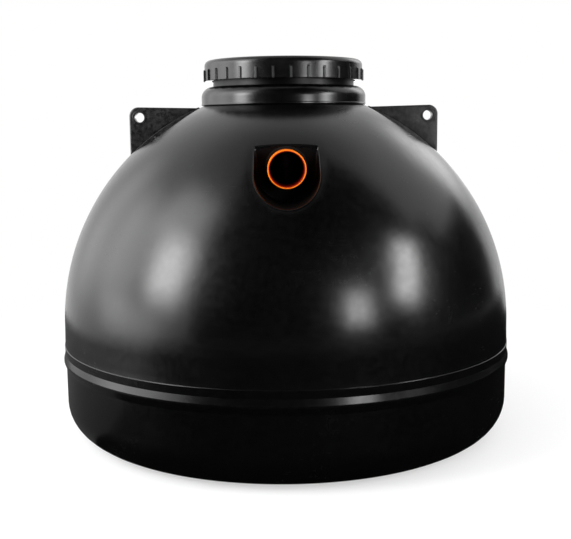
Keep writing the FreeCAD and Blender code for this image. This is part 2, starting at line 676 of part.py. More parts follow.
def screw_lid():
    corners = [
        ("0", "lid_plate_foot"), ("lid_inner", "lid_plate_foot"), ("lid_inner", "lid_foot"),
        ("lid_radius", "lid_foot"), ("lid_radius", "lid_shoulder_height"),
        ("lid_rim_radius", "lid_top"), ("lid_rim_inner", "lid_top"),
        ("lid_rim_inner", "lid_plate_top"), ("0", "lid_plate_top"),
    ]
    arcs = {4: ("lid_shoulder_radius", True)}
    body = turned_body("screw_lid", corners, arcs)
    grip = [
        ("grip_root", "-grip_half"), ("grip_reach", "-grip_half"),
        ("grip_reach", "grip_half"), ("grip_root", "grip_half"),
    ]
    rib(body, "lid_grip", grip, cell("lid_foot"), cell("grip_height"), cell("grip_count"))
    top_rib = [
        ("top_rib_inner", "-top_rib_half"), ("lid_rim_inner", "-top_rib_half"),
        ("lid_rim_inner", "top_rib_half"), ("top_rib_inner", "top_rib_half"),
    ]
    rib(body, "lid_top_rib", top_rib, cell("lid_plate_top"), cell("top_rib_height"),
        cell("top_rib_count"))
    turn = FreeCAD.Rotation(FreeCAD.Vector(0, 0, 1), value("lid_rest_turn"))
    body.Placement = FreeCAD.Placement(FreeCAD.Vector(0, 0, 0), turn)
    return body


# Lifting ears

def lifting_ear(label, turn=None):
    """Upright plate on the dome with a lifting hole."""
    blank = new_body(label + "_blank")
    corners = [
        ("ear_inner", "ear_inner_root_height"), ("ear_reach", "ear_root_height"),
        ("ear_reach", "ear_corner_end_height"), ("ear_corner_start", "ear_top_height"),
        ("ear_inner", "ear_inner_height"),
    ]
    sketch = outline_sketch(blank, label + "_outline", "XZ_Plane", corners,
                            {2: ("ear_corner_radius", True)})
    pad = blank.newObject("PartDesign::Pad", label + "_pad")
    pad.Profile = sketch
    pad.setExpression("Length", cell("ear_thickness"))
    sketch.setExpression("AttachmentOffset.Base.z", "-" + cell("ear_half"))
    sketch.Visibility = False
    eye = cylinder(label + "_eye", cell("eye_radius"), "-" + cell("ear_thickness"),
                   cell("ear_thickness"), "Y", along=cell("eye_height"))
    eye.setExpression("Placement.Base.x", cell("eye_reach"))
    drilled = cut(label + "_drilled", blank, eye)
    ear = cut(label, drilled, dome_seat(label + "_seat"))
    if turn is not None:
        ear.Placement = FreeCAD.Placement(FreeCAD.Vector(0, 0, 0), turn)
    return ear


# Pipes and fittings

def level_tube(label, corners, height, turn=None):
    """Piece turned about a level line at the height of its pipe."""
    body = turned_body(label, corners, plane_role="YZ_Plane", axis="H_Axis")
    if turn is not None:
        body.Placement = FreeCAD.Placement(FreeCAD.Vector(0, 0, 0), turn)
    body.setExpression("Placement.Base.z", cell(height))
    return body


def pipe_stub(label, height, turn=None):
    corners = [
        ("-pipe_tip", "pipe_bore"), ("-pipe_tip", "pipe_radius"),
        ("-pipe_shoulder", "pipe_radius"), ("-pipe_shoulder", "pipe_root"),
        ("-pipe_end", "pipe_root"), ("-pipe_end", "pipe_bore"),
    ]
    return level_tube(label, corners, height, turn)


def pipe_seal(label, height, turn=None):
    """Rubber grommet with a lip on each side of the panel."""
    corners = [
        ("-seal_front_face", "pipe_seat"), ("-seal_front_face", "seal_lip_radius"),
        ("-seal_front", "seal_lip_radius"), ("-seal_front", "seal_outer"),
        ("-seal_back", "seal_outer"), ("-seal_back", "seal_lip_radius"),
        ("-seal_back_face", "seal_lip_radius"), ("-seal_back_face", "pipe_seat"),
    ]
    return level_tube(label, corners, height, turn)


def pipe_tee(label, height, turn=None):
    """Tee with a level socket for the stub and a lower socket for the drop pipe."""
    centre = "-" + cell("tee_centre")
    level = cell(height)
    top = "%s + %s" % (level, cell("tee_top_rise"))
    foot = "%s - %s" % (level, cell("tee_drop"))
    lower_floor = "%s + %s" % (foot, cell("socket_depth"))
    mouth = "-" + cell("socket_mouth")
    floor = "-" + cell("socket_floor")
    outside = fuse(label + "_outside", [
        cylinder(label + "_run", cell("run_outer"), foot, top, along=centre),
        cylinder(label + "_branch", cell("tee_outer"), floor, centre, "Y", along=level),
        cylinder(label + "_socket", cell("socket_outer"), mouth,
                 floor + " + " + cell("tee_wall"), "Y", along=level),
        cylinder(label + "_lower_socket", cell("socket_outer"), foot,
                 lower_floor + " + " + cell("tee_wall"), along=centre),
    ])
    inside = fuse(label + "_inside", [
        cylinder(label + "_run_bore", cell("run_bore"), foot, top, along=centre),
        cylinder(label + "_branch_bore", cell("pipe_bore"), mouth, centre, "Y", along=level),
        cylinder(label + "_socket_bore", cell("pipe_seat"), mouth, floor, "Y", along=level),
        cylinder(label + "_lower_bore", cell("drop_seat"), foot, lower_floor, along=centre),
    ])
    tee = cut(label, outside, inside)
    if turn is not None:
        tee.Placement = FreeCAD.Placement(FreeCAD.Vector(0, 0, 0), turn)
    return tee


def drop_pipe(label, height, end, turn=None):
    """Pipe that hangs in the tee's lower socket."""
    centre = "-" + cell("tee_centre")
    top = "%s - %s + %s - %s" % (cell(height), cell("tee_drop"), cell("socket_depth"),
                                 cell("seat_gap"))
    outside = cylinder(label + "_outside", cell("pipe_radius"), cell(end), top, along=centre)
    inside = cylinder(label + "_inside", cell("pipe_bore"), cell(end), top, along=centre)
    pipe = cut(label, outside, inside)
    if turn is not None:
        pipe.Placement = FreeCAD.Placement(FreeCAD.Vector(0, 0, 0), turn)
    return pipe


# Assembly

node(tank_floor())
node(base_skirt())
node(belt_ring())
node(tank_wall())
whole_dome = dome_shell()
for side, x_side in (("right", 0), ("left", -2)):
    node(dome_quarter("dome_front_" + side, whole_dome, x_side, -2))
    node(dome_quarter("dome_back_" + side, whole_dome, x_side, 0))
node(pipe_recess("inlet_recess", "inlet_height"))
node(pipe_recess("outlet_recess", "outlet_height", HALF_TURN))
node(manhole_collar())
node(neck_ring())
node(lid_seal())
node(screw_lid())
node(lifting_ear("lifting_ear_right"))
node(lifting_ear("lifting_ear_left", HALF_TURN))
node(pipe_stub("inlet_pipe", "inlet_height"))
node(pipe_seal("inlet_seal", "inlet_height"))
node(pipe_tee("inlet_tee", "inlet_height"))
node(drop_pipe("inlet_drop_pipe", "inlet_height", "inlet_drop_end"))
node(pipe_stub("outlet_pipe", "outlet_height", HALF_TURN))
node(pipe_seal("outlet_seal", "outlet_height", HALF_TURN))
node(pipe_tee("outlet_tee", "outlet_height", HALF_TURN))
node(drop_pipe("outlet_dip_pipe", "outlet_height", "outlet_dip_end", HALF_TURN))
doc.recompute()

# Checks and output

for feature in doc.Objects:
    if "Invalid" in feature.State or "Error" in feature.State:
        raise RuntimeError("%s did not compute: %s" % (feature.Label, feature.State))
for feature in nodes:
    shape = feature.Shape
    if shape.isNull() or not shape.isValid() or not shape.Solids:
        raise RuntimeError("%s has no valid solid" % feature.Label)

os.makedirs("parts", exist_ok=True)
for feature in nodes:
    feature.Shape.exportStep("parts/%s.step" % feature.Label)
    box = feature.Shape.BoundBox
    print("%-20s solids %d faces %3d volume %9.0f  x %7.1f %7.1f  y %7.1f %7.1f  z %7.1f %7.1f" % (
        feature.Label, len(feature.Shape.Solids), len(feature.Shape.Faces),
        feature.Shape.Volume, box.XMin, box.XMax, box.YMin, box.YMax, box.ZMin, box.ZMax))
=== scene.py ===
import math

import bmesh
import bpy
import numpy as np
from mathutils import Matrix, Quaternion, Vector


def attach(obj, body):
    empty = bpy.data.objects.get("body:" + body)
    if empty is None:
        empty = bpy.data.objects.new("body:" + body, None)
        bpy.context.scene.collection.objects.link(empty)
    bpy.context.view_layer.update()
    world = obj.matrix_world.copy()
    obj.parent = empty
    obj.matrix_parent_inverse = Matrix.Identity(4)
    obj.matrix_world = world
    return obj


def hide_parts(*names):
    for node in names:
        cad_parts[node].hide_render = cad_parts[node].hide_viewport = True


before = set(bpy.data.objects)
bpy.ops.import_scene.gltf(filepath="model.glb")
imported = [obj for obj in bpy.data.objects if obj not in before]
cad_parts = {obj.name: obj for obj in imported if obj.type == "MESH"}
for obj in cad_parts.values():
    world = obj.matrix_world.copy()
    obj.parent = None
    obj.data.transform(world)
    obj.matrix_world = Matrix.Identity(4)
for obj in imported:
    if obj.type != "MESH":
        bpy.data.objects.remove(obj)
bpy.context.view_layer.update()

# Domed plastic septic tank. Shapes are worked out in millimetres and scaled at the end.

MM = 0.001
POLE = 1e-6
SLIGHT_TURN = 0.02

# Sizes of the moulded shell

SHELL = 8.0
SKIRT_R = 744.6
BASE_EDGE_R = 115.0
WALL_R = 745.0
DOME_FOOT_Z = 362.5
SHOULDER_R = 781.8
SHOULDER_DEG = 45.7
CROWN_R = 716.3
SHOULDER_C = (WALL_R - SHOULDER_R, DOME_FOOT_Z)
CROWN_C = (
    SHOULDER_C[0] + (SHOULDER_R - CROWN_R) * math.cos(math.radians(SHOULDER_DEG)),
    SHOULDER_C[1] + (SHOULDER_R - CROWN_R) * math.sin(math.radians(SHOULDER_DEG)),
)
SHOULDER_END_Z = DOME_FOOT_Z + SHOULDER_R * math.sin(math.radians(SHOULDER_DEG))
NECK_R = 262.0
NECK_Z = CROWN_C[1] + math.sqrt(CROWN_R ** 2 - (NECK_R - CROWN_C[0]) ** 2)
BELT_R = 752.2
LEDGE_R = 746.6
LEDGE_Z = 302.0

# Scoops beside the lifting ears

EAR_HALF = 20.0
SCOOP_REACH = 431.5
SCOOP_Z = 961.0
SCOOP_IN = math.tan(math.radians(35.4))
SCOOP_OUT = math.tan(math.radians(23.4))
SCOOP_ROUND = 9.0
SCOOP_BLEND = 5.0
SCOOP_FALL = 0.02
SCOOP_RIM = 150.0

# Pipe recesses, and the rows of the dome that are cut for them

CUT_LOW = 735.0
CUT_HIGH = 1000.0
RECESS_HALF = 94.0
RECESS_TOP_HALF = 91.5
RECESS_TOP_Z = 957.0
RECESS_CENTRE_Z = 875.0
RECESS_PANEL = 470.0
RECESS_CORNER = 5.0
RECESS_ROLL = 28.0
RECESS_ROLL_DEPTH = 5.5
RECESS_FADE_Z = 905.0
RECESS_FOOT_Z = 779.0
RECESS_DRAFT = math.tan(math.radians(3.0))
RECESS_LIP = 2.2
RECESS_FOOT_ROUND = 9.0
RECESS_TOP_BAND = 6.0
PANEL_HOLE = 59.1
INLET_Z = 888.6
OUTLET_Z = 858.6


# Mesh helpers

def make_object(name, points, faces, material, body, slot, sharp=40.0):
    """Mesh object from millimetre points, smooth but for edges sharper than sharp."""
    mesh = bpy.data.meshes.new(name)
    mesh.from_pydata([tuple(c * MM for c in p) for p in points], [], faces)
    work = bmesh.new()
    work.from_mesh(mesh)
    loose = [v for v in work.verts if not v.link_faces]
    bmesh.ops.delete(work, geom=loose, context="VERTS")
    bmesh.ops.recalc_face_normals(work, faces=work.faces)
    work.to_mesh(mesh)
    work.free()
    mesh.shade_smooth()
    mesh.set_sharp_from_angle(angle=math.radians(sharp))
    mesh.materials.append(material)
    thing = bpy.data.objects.new(name, mesh)
    bpy.context.scene.collection.objects.link(thing)
    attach(thing, body)
    return thing


def smooth_step(value):
    """Soft step from 0 to 1."""
    value = np.clip(value, 0.0, 1.0)
    return value * value * (3 - 2 * value)


def smooth_max(a, b, blend):
    """The greater of two, with a soft change over."""
    weight = np.clip(0.5 + 0.5 * (a - b) / blend, 0.0, 1.0)
    return b + (a - b) * weight + blend * weight * (1 - weight)


def between(first, last, k, pieces):
    """Point k of the way from first to last, in so many pieces."""
    return tuple(a + (b - a) * k / pieces for a, b in zip(first, last))


def rounded(corners, step_deg):
    """Dense outline through corners (across, up, rounding radius). The ends stay sharp."""
    result = []
    count = len(corners)
    for index, (across, up, radius) in enumerate(corners):
        here = np.array([across, up], float)
        if radius <= 0 or index in (0, count - 1):
            result.append(here)
            continue
        before = np.array(corners[index - 1][:2], float) - here
        after = np.array(corners[index + 1][:2], float) - here
        before /= np.linalg.norm(before)
        after /= np.linalg.norm(after)
        half_angle = math.acos(max(-1.0, min(1.0, float(before @ after)))) / 2
        turn = math.pi - 2 * half_angle
        if turn < SLIGHT_TURN:
            result.append(here)
            continue
        reach = radius / math.tan(half_angle)
        centre = here + (before + after) / np.linalg.norm(before + after) * (
            radius / math.sin(half_angle))
        first = here + before * reach - centre
        last = here + after * reach - centre
        steps = max(3, int(math.degrees(turn) / step_deg) + 1)
        start = math.atan2(first[1], first[0])
        sweep = math.atan2(last[1], last[0]) - start
        sweep = (sweep + math.pi) % (2 * math.pi) - math.pi
        for k in range(steps + 1):
            angle = start + sweep * k / steps
            result.append(centre + radius * np.array([math.cos(angle), math.sin(angle)]))
    return [(float(p[0]), float(p[1])) for p in result]


def closed_rounded(corners, step_deg):
    """Dense closed outline through rounded corners."""
    wrapped = [corners[-1]] + list(corners) + [corners[0]]
    return rounded(wrapped, step_deg)[1:-1]


def spread(line, step):
    """Closed outline with points no further apart than step."""
    result = []
    for first, last in zip(line, line[1:] + line[:1]):
        pieces = max(1, int(math.dist(first, last) / step))
        result += [between(first, last, k, pieces) for k in range(pieces)]
    return result


def turns(count):
    """Evenly spaced angles all round."""
    return [2 * math.pi * j / count for j in range(count)]


def ring_faces(rings, closed=False):
    """Faces between rings of point numbers. A ring that repeats one point is a pole."""
    faces = []
    pairs = list(zip(rings, rings[1:]))
    if closed:
        pairs.append((rings[-1], rings[0]))
    for lower, upper in pairs:
        for j in range(len(lower)):
            k = (j + 1) % len(lower)
            face = []
            for vertex in (lower[j], lower[k], upper[k], upper[j]):
                if vertex not in face:
                    face.append(vertex)
            if len(face) > 2:
                faces.append(tuple(face))
    return faces


def lathe(profile, angles, axis="Z", shape=None):
    """Points and faces of a closed outline (radius, height) turned about an axis.

    shape(radius, height, column) may change the radius. For axis Y the height
    runs along -Y.
    """
    points = []
    rings = []
    for radius, height in profile:
        if radius < POLE:
            rings.append([len(points)] * len(angles))
            points.append((0.0, 0.0, height))
            continue
        ring = []
        for column, angle in enumerate(angles):
            size = shape(radius, height, column) if shape else radius
            ring.append(len(points))
            points.append((size * math.cos(angle), size * math.sin(angle), height))
        rings.append(ring)
    if axis == "Y":
        points = [(x, -z, y) for x, y, z in points]
    return points, ring_faces(rings, closed=True)


def joined(parts):
    """One set of points and faces from several."""
    points = []
    faces = []
    for more_points, more_faces in parts:
        base = len(points)
        points.extend(more_points)
        faces.extend(tuple(i + base for i in face) for face in more_faces)
    return points, faces


def bridge(faces, many, few):
    """Triangles between a loop of points and a loop with a whole share of their number."""
    ratio = len(many) // len(few)
    for i in range(len(few)):
        for m in range(ratio):
            a = many[(i * ratio + m) % len(many)]
            b = many[(i * ratio + m + 1) % len(many)]
            faces.append((few[i], a, b))
        faces.append((few[i], many[((i + 1) * ratio) % len(many)], few[(i + 1) % len(few)]))


def paint(piece, material, chosen):
    """Gives a second material to the faces whose middle (x, y, z) is chosen."""
    piece.data.materials.append(material)
    for face in piece.data.polygons:
        if chosen(*(c / MM for c in face.center)):
            face.material_index = 1


# Materials

MIX_FIRST = 6
MIX_SECOND = 7
MIX_RESULT = 2


def node_of(tree, kind, sockets=None, **settings):
    """New node with its settings and the values of some sockets."""
    made = tree.nodes.new(kind)
    for name, value in settings.items():
        setattr(made, name, value)
    for key, value in (sockets or {}).items():
        made.inputs[key].default_value = value
    return made


def noise(tree, vector, scale, detail=3.0, rough=0.55):
    made = node_of(tree, "ShaderNodeTexNoise",
                   {"Scale": scale, "Detail": detail, "Roughness": rough})
    tree.links.new(vector, made.inputs["Vector"])
    return made.outputs["Fac"]


def ramp(tree, factor, low, high, low_value, high_value):
    """Factor from low..high mapped to low_value..high_value."""
    made = node_of(tree, "ShaderNodeMapRange",
                   {"From Min": low, "From Max": high, "To Min": low_value, "To Max": high_value})
    tree.links.new(factor, made.inputs["Value"])
    return made.outputs["Result"]


def maths(tree, operation, first, second):
    made = node_of(tree, "ShaderNodeMath", operation=operation)
    for index, value in enumerate((first, second)):
        if isinstance(value, (int, float)):
            made.inputs[index].default_value = value
        else:
            tree.links.new(value, made.inputs[index])
    return made.outputs[0]


def mixed(tree, factor, first, second):
    """Colour from first to second, each a plain colour or a socket."""
    made = node_of(tree, "ShaderNodeMix", data_type="RGBA")
    tree.links.new(factor, made.inputs["Factor"])
    for index, entry in ((MIX_FIRST, first), (MIX_SECOND, second)):
        if isinstance(entry, tuple):
            made.inputs[index].default_value = (*entry, 1.0)
        else:
            tree.links.new(entry, made.inputs[index])
    return made.outputs[MIX_RESULT]


def stretched(tree, vector, scale, turn):
    made = node_of(tree, "ShaderNodeMapping", {"Scale": scale, "Rotation": turn})
    tree.links.new(vector, made.inputs["Vector"])
    return made.outputs["Vector"]


def plastic(name, dark, light, rough, peel, wave, scuff=0.5, specular=0.5):
    """Moulded plastic: mottled colour, uneven sheen, orange peel, fine scratches."""
    material = bpy.data.materials.new(name)
    material.use_nodes = True
    tree = material.node_tree
    shader = tree.nodes["Principled BSDF"]
    place = node_of(tree, "ShaderNodeTexCoord").outputs["Object"]
    broad = noise(tree, place, 5.0, 3.0)
    mottle = noise(tree, place, 55.0, 5.0, 0.62)
    grain = noise(tree, place, 900.0, 2.0, 0.5)
    scratch_a = noise(tree, stretched(tree, place, (9.0, 9.0, 420.0), (0.3, 0.5, 0.2)), 1.0, 2.0)
    scratch_b = noise(tree, stretched(tree, place, (380.0, 12.0, 12.0), (0.1, 0.9, 0.6)), 1.0, 2.0)
    lines = maths(tree, "MAXIMUM", ramp(tree, scratch_a, 0.66, 0.72, 0.0, 1.0),
                  ramp(tree, scratch_b, 0.67, 0.73, 0.0, 1.0))
    patch = ramp(tree, noise(tree, place, 2.3, 2.0), 0.5, 0.68, 0.0, scuff)
    scratches = maths(tree, "MULTIPLY", lines, patch)
    tone = maths(tree, "ADD", ramp(tree, mottle, 0.35, 0.7, 0.0, 0.7),
                 maths(tree, "MULTIPLY", scratches, 0.8))
    colour = mixed(tree, tone, dark, light)
    tree.links.new(colour, shader.inputs["Base Color"])
    sheen = maths(tree, "ADD", ramp(tree, broad, 0.3, 0.7, rough[0], rough[1]),
                  ramp(tree, mottle, 0.3, 0.7, -0.02, 0.03))
    sheen = maths(tree, "ADD", sheen, maths(tree, "MULTIPLY", scratches, 0.12))
    tree.links.new(sheen, shader.inputs["Roughness"])
    shader.inputs["IOR"].default_value = 1.5
    shader.inputs["Specular IOR Level"].default_value = specular
    normal = None
    for height, depth in ((broad, wave), (mottle, peel * 3.0), (grain, peel)):
        bump = node_of(tree, "ShaderNodeBump", {"Distance": depth, "Strength": 1.0})
        tree.links.new(height, bump.inputs["Height"])
        if normal is not None:
            tree.links.new(normal, bump.inputs["Normal"])
        normal = bump.outputs["Normal"]
    tree.links.new(normal, shader.inputs["Normal"])
    return material


DEEP_BLACK = ((0.0003, 0.0003, 0.0004), (0.0010, 0.0010, 0.0010))
ORANGE = ((0.72, 0.125, 0.002), (0.90, 0.240, 0.006), (0.30, 0.38), 0.00001, 0.0001, 0.4)

shell_black = plastic("shell_black", *DEEP_BLACK, (0.20, 0.26), 0.00002, 0.0009, 0.25)
# Painted shade in the pipe recesses: a darker black with duller, fainter reflections than the
# shell.
recess_shade = plastic("recess_shade", (0.0002, 0.0002, 0.0002), (0.0008, 0.0008, 0.0008),
                       (0.50, 0.62), 0.00003, 0.0002, specular=0.12)
# Painted shade on the neck ring: duller reflections at half the shell's specular level, standing
# in for the shadow under the lid.
neck_shade = plastic("neck_shade", *DEEP_BLACK, (0.30, 0.40), 0.00002, 0.0002, 0.25, 0.25)
ear_black = plastic("ear_black", (0.0010, 0.0010, 0.0012), (0.042, 0.040, 0.042),
                    (0.26, 0.44), 0.00016, 0.0030, 0.8)
lid_black = plastic("lid_black", (0.0012, 0.0012, 0.0013), (0.0045, 0.0045, 0.0047),
                    (0.20, 0.28), 0.00002, 0.0003, 0.6)
# Painted highlight: the grip ribs' crests are lighter and duller than the rest of the lid.
grip_highlight = plastic("grip_highlight", (0.014, 0.014, 0.014), (0.040, 0.040, 0.041),
                    (0.38, 0.48), 0.00002, 0.0002, 0.8)
rubber_black = plastic("rubber_black", (0.0015, 0.0015, 0.0015), (0.006, 0.006, 0.006),
                       (0.55, 0.68), 0.00004, 0.0001, 0.3, 0.2)
pipe_orange = plastic("pipe_orange", *ORANGE, 0.15)


# Shell moulding

def dome_radius(z, offset=0.0):
    """Radius of the dome, or of its surface offset inwards, at a height."""
    low = z < SHOULDER_END_Z
    centre_r = np.where(low, SHOULDER_C[0], CROWN_C[0])
    centre_z = np.where(low, SHOULDER_C[1], CROWN_C[1])
    radius = np.where(low, SHOULDER_R, CROWN_R) - offset
    return centre_r + np.sqrt(np.maximum(radius ** 2 - (z - centre_z) ** 2, 0.0))


def dome_row(z, offset):
    """(radius, height, normal out, normal up) of the dome where its outside is at z."""
    if z < SHOULDER_END_Z:
        centre, radius = SHOULDER_C, SHOULDER_R
    else:
        centre, radius = CROWN_C, CROWN_R
    up = (z - centre[1]) / radius
    out = math.sqrt(max(1 - up * up, 0.0))
    reach = radius - offset
    return centre[0] + reach * out, centre[1] + reach * up, out, up


def scoop_floor(x, y):
    """Height of the scoops' floor."""
    across = np.abs(x) - SCOOP_REACH
    mean = (SCOOP_IN + SCOOP_OUT) / 2
    half = (SCOOP_IN - SCOOP_OUT) / 2
    fall = SCOOP_FALL * (np.abs(y) - SCOOP_RIM)
    return SCOOP_Z - across * mean + half * (np.sqrt(across ** 2 + SCOOP_ROUND ** 2)) + fall


def scoop_depth(x, y, z, nx, ny, nz):
    """How far the scoops cut the dome in, along its normal, with rounded edges."""
    depth = np.zeros_like(x)
    step = 1.0
    for _ in range(6):
        here = z - depth * nz - scoop_floor(x - depth * nx, y - depth * ny)
        ahead = (z - (depth + step) * nz
                 - scoop_floor(x - (depth + step) * nx, y - (depth + step) * ny))
        slope = (ahead - here) / step
        slope = np.where(np.abs(slope) < 0.05, -0.05, slope)
        depth = np.clip(depth - here / slope, -400.0, 200.0)
    weight = np.clip(0.5 + 0.5 * depth / SCOOP_BLEND, 0.0, 1.0)
    return depth * weight + SCOOP_BLEND * weight * (1 - weight)


def recess_outline(count, loop_angles, offset):
    """count points round a recess and their outward normals, from the bottom, anticlockwise.

    They are denser near the two upper corners.
    """
    top_half = RECESS_TOP_HALF + offset
    half = RECESS_HALF + offset
    top = RECESS_TOP_Z + offset
    line = []
    steps = 180
    for k in range(steps + 1):
        angle = -math.pi / 2 + math.pi / 2 * k / steps
        line.append((half * math.cos(angle), RECESS_CENTRE_Z + half * math.sin(angle)))
    corner = rounded([(half, RECESS_CENTRE_Z, 0), (top_half, top, RECESS_CORNER + offset),
                      (0.0, top, 0)], 6.0)
    for first, last in zip(corner, corner[1:]):
        pieces = max(1, int(math.dist(first, last) / 1.5))
        line += [between(first, last, k, pieces) for k in range(1, pieces + 1)]
    mirror = [(-x, z) for x, z in reversed(line[1:-1])]
    line = np.array(line + mirror + [line[0]])
    lengths = np.concatenate([[0.0], np.cumsum(np.linalg.norm(np.diff(line, axis=0), axis=1))])
    total = lengths[-1]
    towards_corner = np.where(line[:, 0] > 0, line[:, 1] + line[:, 0] * 0.5, -np.inf)
    corner_place = lengths[np.argmax(towards_corner)]
    samples = np.linspace(0, total, 4001)
    extra = 3
    near = 8
    density = (1 + extra * np.exp(-((samples - corner_place) / near) ** 2)
               + extra * np.exp(-((samples - (total - corner_place)) / near) ** 2))
    grown = np.concatenate([[0.0], np.cumsum((density[1:] + density[:-1]) / 2)])
    even = np.interp(np.arange(count) / count * grown[-1], grown, samples)
    angles = np.unwrap(np.arctan2(line[:, 1] - RECESS_CENTRE_Z, line[:, 0]))
    wanted = np.unwrap(loop_angles)
    wanted += round((angles[0] - wanted[0]) / (2 * math.pi)) * 2 * math.pi
    radial = np.interp(wanted, angles, lengths)
    place = 0.3 * radial + 0.7 * even

    def at(distance):
        return np.stack([np.interp(distance, lengths, line[:, i]) for i in (0, 1)], axis=1)

    reach = 0.8
    tangent = at((place + reach) % total) - at((place - reach) % total)
    tangent /= np.linalg.norm(tangent, axis=1)[:, None]
    normals = np.stack([tangent[:, 1], -tangent[:, 0]], axis=1)
    return at(place), normals


def curve(first, corner, last, share):
    """Point on the parabola from first to last that leans towards a corner."""
    return (1 - share) ** 2 * first + 2 * share * (1 - share) * corner + share * share * last


def lip_depth(away, roll, depth, share):
    """How far the dome sinks beside a recess, with a slim bead along the edge."""
    bead_place = 2.6
    bead_width = 1.7
    bead = 0.25 * depth * math.exp(-((away - bead_place) / bead_width) ** 2)
    return depth * (1 - away / roll) ** 2 - bead * share


def recess_rings(loop, offset, pipe_z):
    """Rings of points (x, y, z) from a loop on the dome into a recess, to its pipe hole.

    loop holds the (x, y, z) of the loop's points, seen with the recess at -Y. The roll
    round the opening is shallow along its top, and the bead is only at its sides and foot.
    """
    loop = np.array(loop)
    inner = offset > 0
    angles = np.arctan2(loop[:, 2] - RECESS_CENTRE_Z, loop[:, 0])
    spots, normals = recess_outline(len(loop), angles, offset)
    roll = 12.0 if inner else RECESS_ROLL
    level = 1 - 0.85 * smooth_step((spots[:, 1] - RECESS_FADE_Z) / (RECESS_TOP_Z - RECESS_FADE_Z))
    roll_depth = level * (0.0 if inner else RECESS_ROLL_DEPTH)
    panel = -(RECESS_PANEL - offset)
    sides = 1 - np.clip((normals[:, 1] - 0.2) / 0.5, 0.0, 1.0)

    def on_dome(flat, depth):
        y = -np.sqrt(np.maximum(dome_radius(flat[:, 1], offset) ** 2 - flat[:, 0] ** 2, 0.0))
        return np.stack([flat[:, 0], y + depth, flat[:, 1]], axis=1)

    def on_panel(flat):
        y = on_dome(flat, roll_depth)[:, 1]
        return np.stack([flat[:, 0], smooth_max(y, panel, 2.0), flat[:, 1]], axis=1)

    rings = []
    start = loop[:, [0, 2]]
    rim = spots + normals * roll
    steps = 3 if inner else 8
    for k in range(1, steps):
        rings.append(on_dome(start + (rim - start) * (k / steps), 0.0))
    for away in ((12.0, 4.0) if inner else (26.0, 20.0, 15.0, 11.0, 8.0, 6.2, 5.0, 4.0, 3.2, 2.5)):
        depth = lip_depth(away, roll, roll_depth, sides)
        rings.append(on_dome(spots + normals * away, depth))
    edge = on_dome(spots, roll_depth)
    outward = np.stack([normals[:, 0], np.zeros(len(spots)), normals[:, 1]], axis=1)
    floor_y = on_panel(spots)[:, 1]
    depth = np.maximum(floor_y - edge[:, 1], 0.3)
    lip = np.minimum(RECESS_LIP, depth * 0.5)
    lip_start = 1.8
    first = on_dome(spots + normals * lip_start, lip_depth(lip_start, roll, roll_depth, sides))
    after = edge.copy()
    after[:, 1] += lip
    for share in ((0.5,) if inner else (0.0, 0.25, 0.5, 0.75, 1.0)):
        rings.append(curve(first, edge, after, share))
    draft = 0.0 if inner else RECESS_DRAFT
    base_round = np.minimum(RECESS_FOOT_ROUND, depth * 0.45)
    wall_end = depth - base_round
    for share in ((1.0,) if inner else (0.33, 0.66, 1.0)):
        y = edge[:, 1] + lip + (wall_end - lip) * share
        moved = edge - outward * (draft * (y - edge[:, 1]))[:, None]
        moved[:, 1] = y
        rings.append(moved)
    foot_first = rings[-1].copy()
    foot_corner = edge - outward * (draft * depth)[:, None]
    foot_corner[:, 1] = floor_y
    foot_flat = foot_corner - outward * base_round[:, None]
    foot_last = on_panel(foot_flat[:, [0, 2]])
    for share in ((1.0,) if inner else (0.25, 0.5, 0.75, 1.0)):
        rings.append(curve(foot_first, foot_corner, foot_last, share))
    around = np.arctan2(foot_flat[:, 2] - pipe_z, foot_flat[:, 0])
    hole = np.stack([PANEL_HOLE * np.cos(around), pipe_z + PANEL_HOLE * np.sin(around)], axis=1)
    flat = foot_last[:, [0, 2]]
    for share in ((0.5, 1.0) if inner else (0.1, 0.22, 0.38, 0.6, 0.8, 1.0)):
        rings.append(on_panel(flat + (hole - flat) * share))
    return rings


def row_heights(below, beside, above):
    """Heights of the dome's rows, and the rows where the cut for the recesses starts and ends."""
    heights = list(np.linspace(DOME_FOOT_Z, CUT_LOW, below)[:-1])
    start = len(heights)
    heights += list(np.linspace(CUT_LOW, CUT_HIGH, beside)[:-1])
    return heights + above, (start, len(heights))


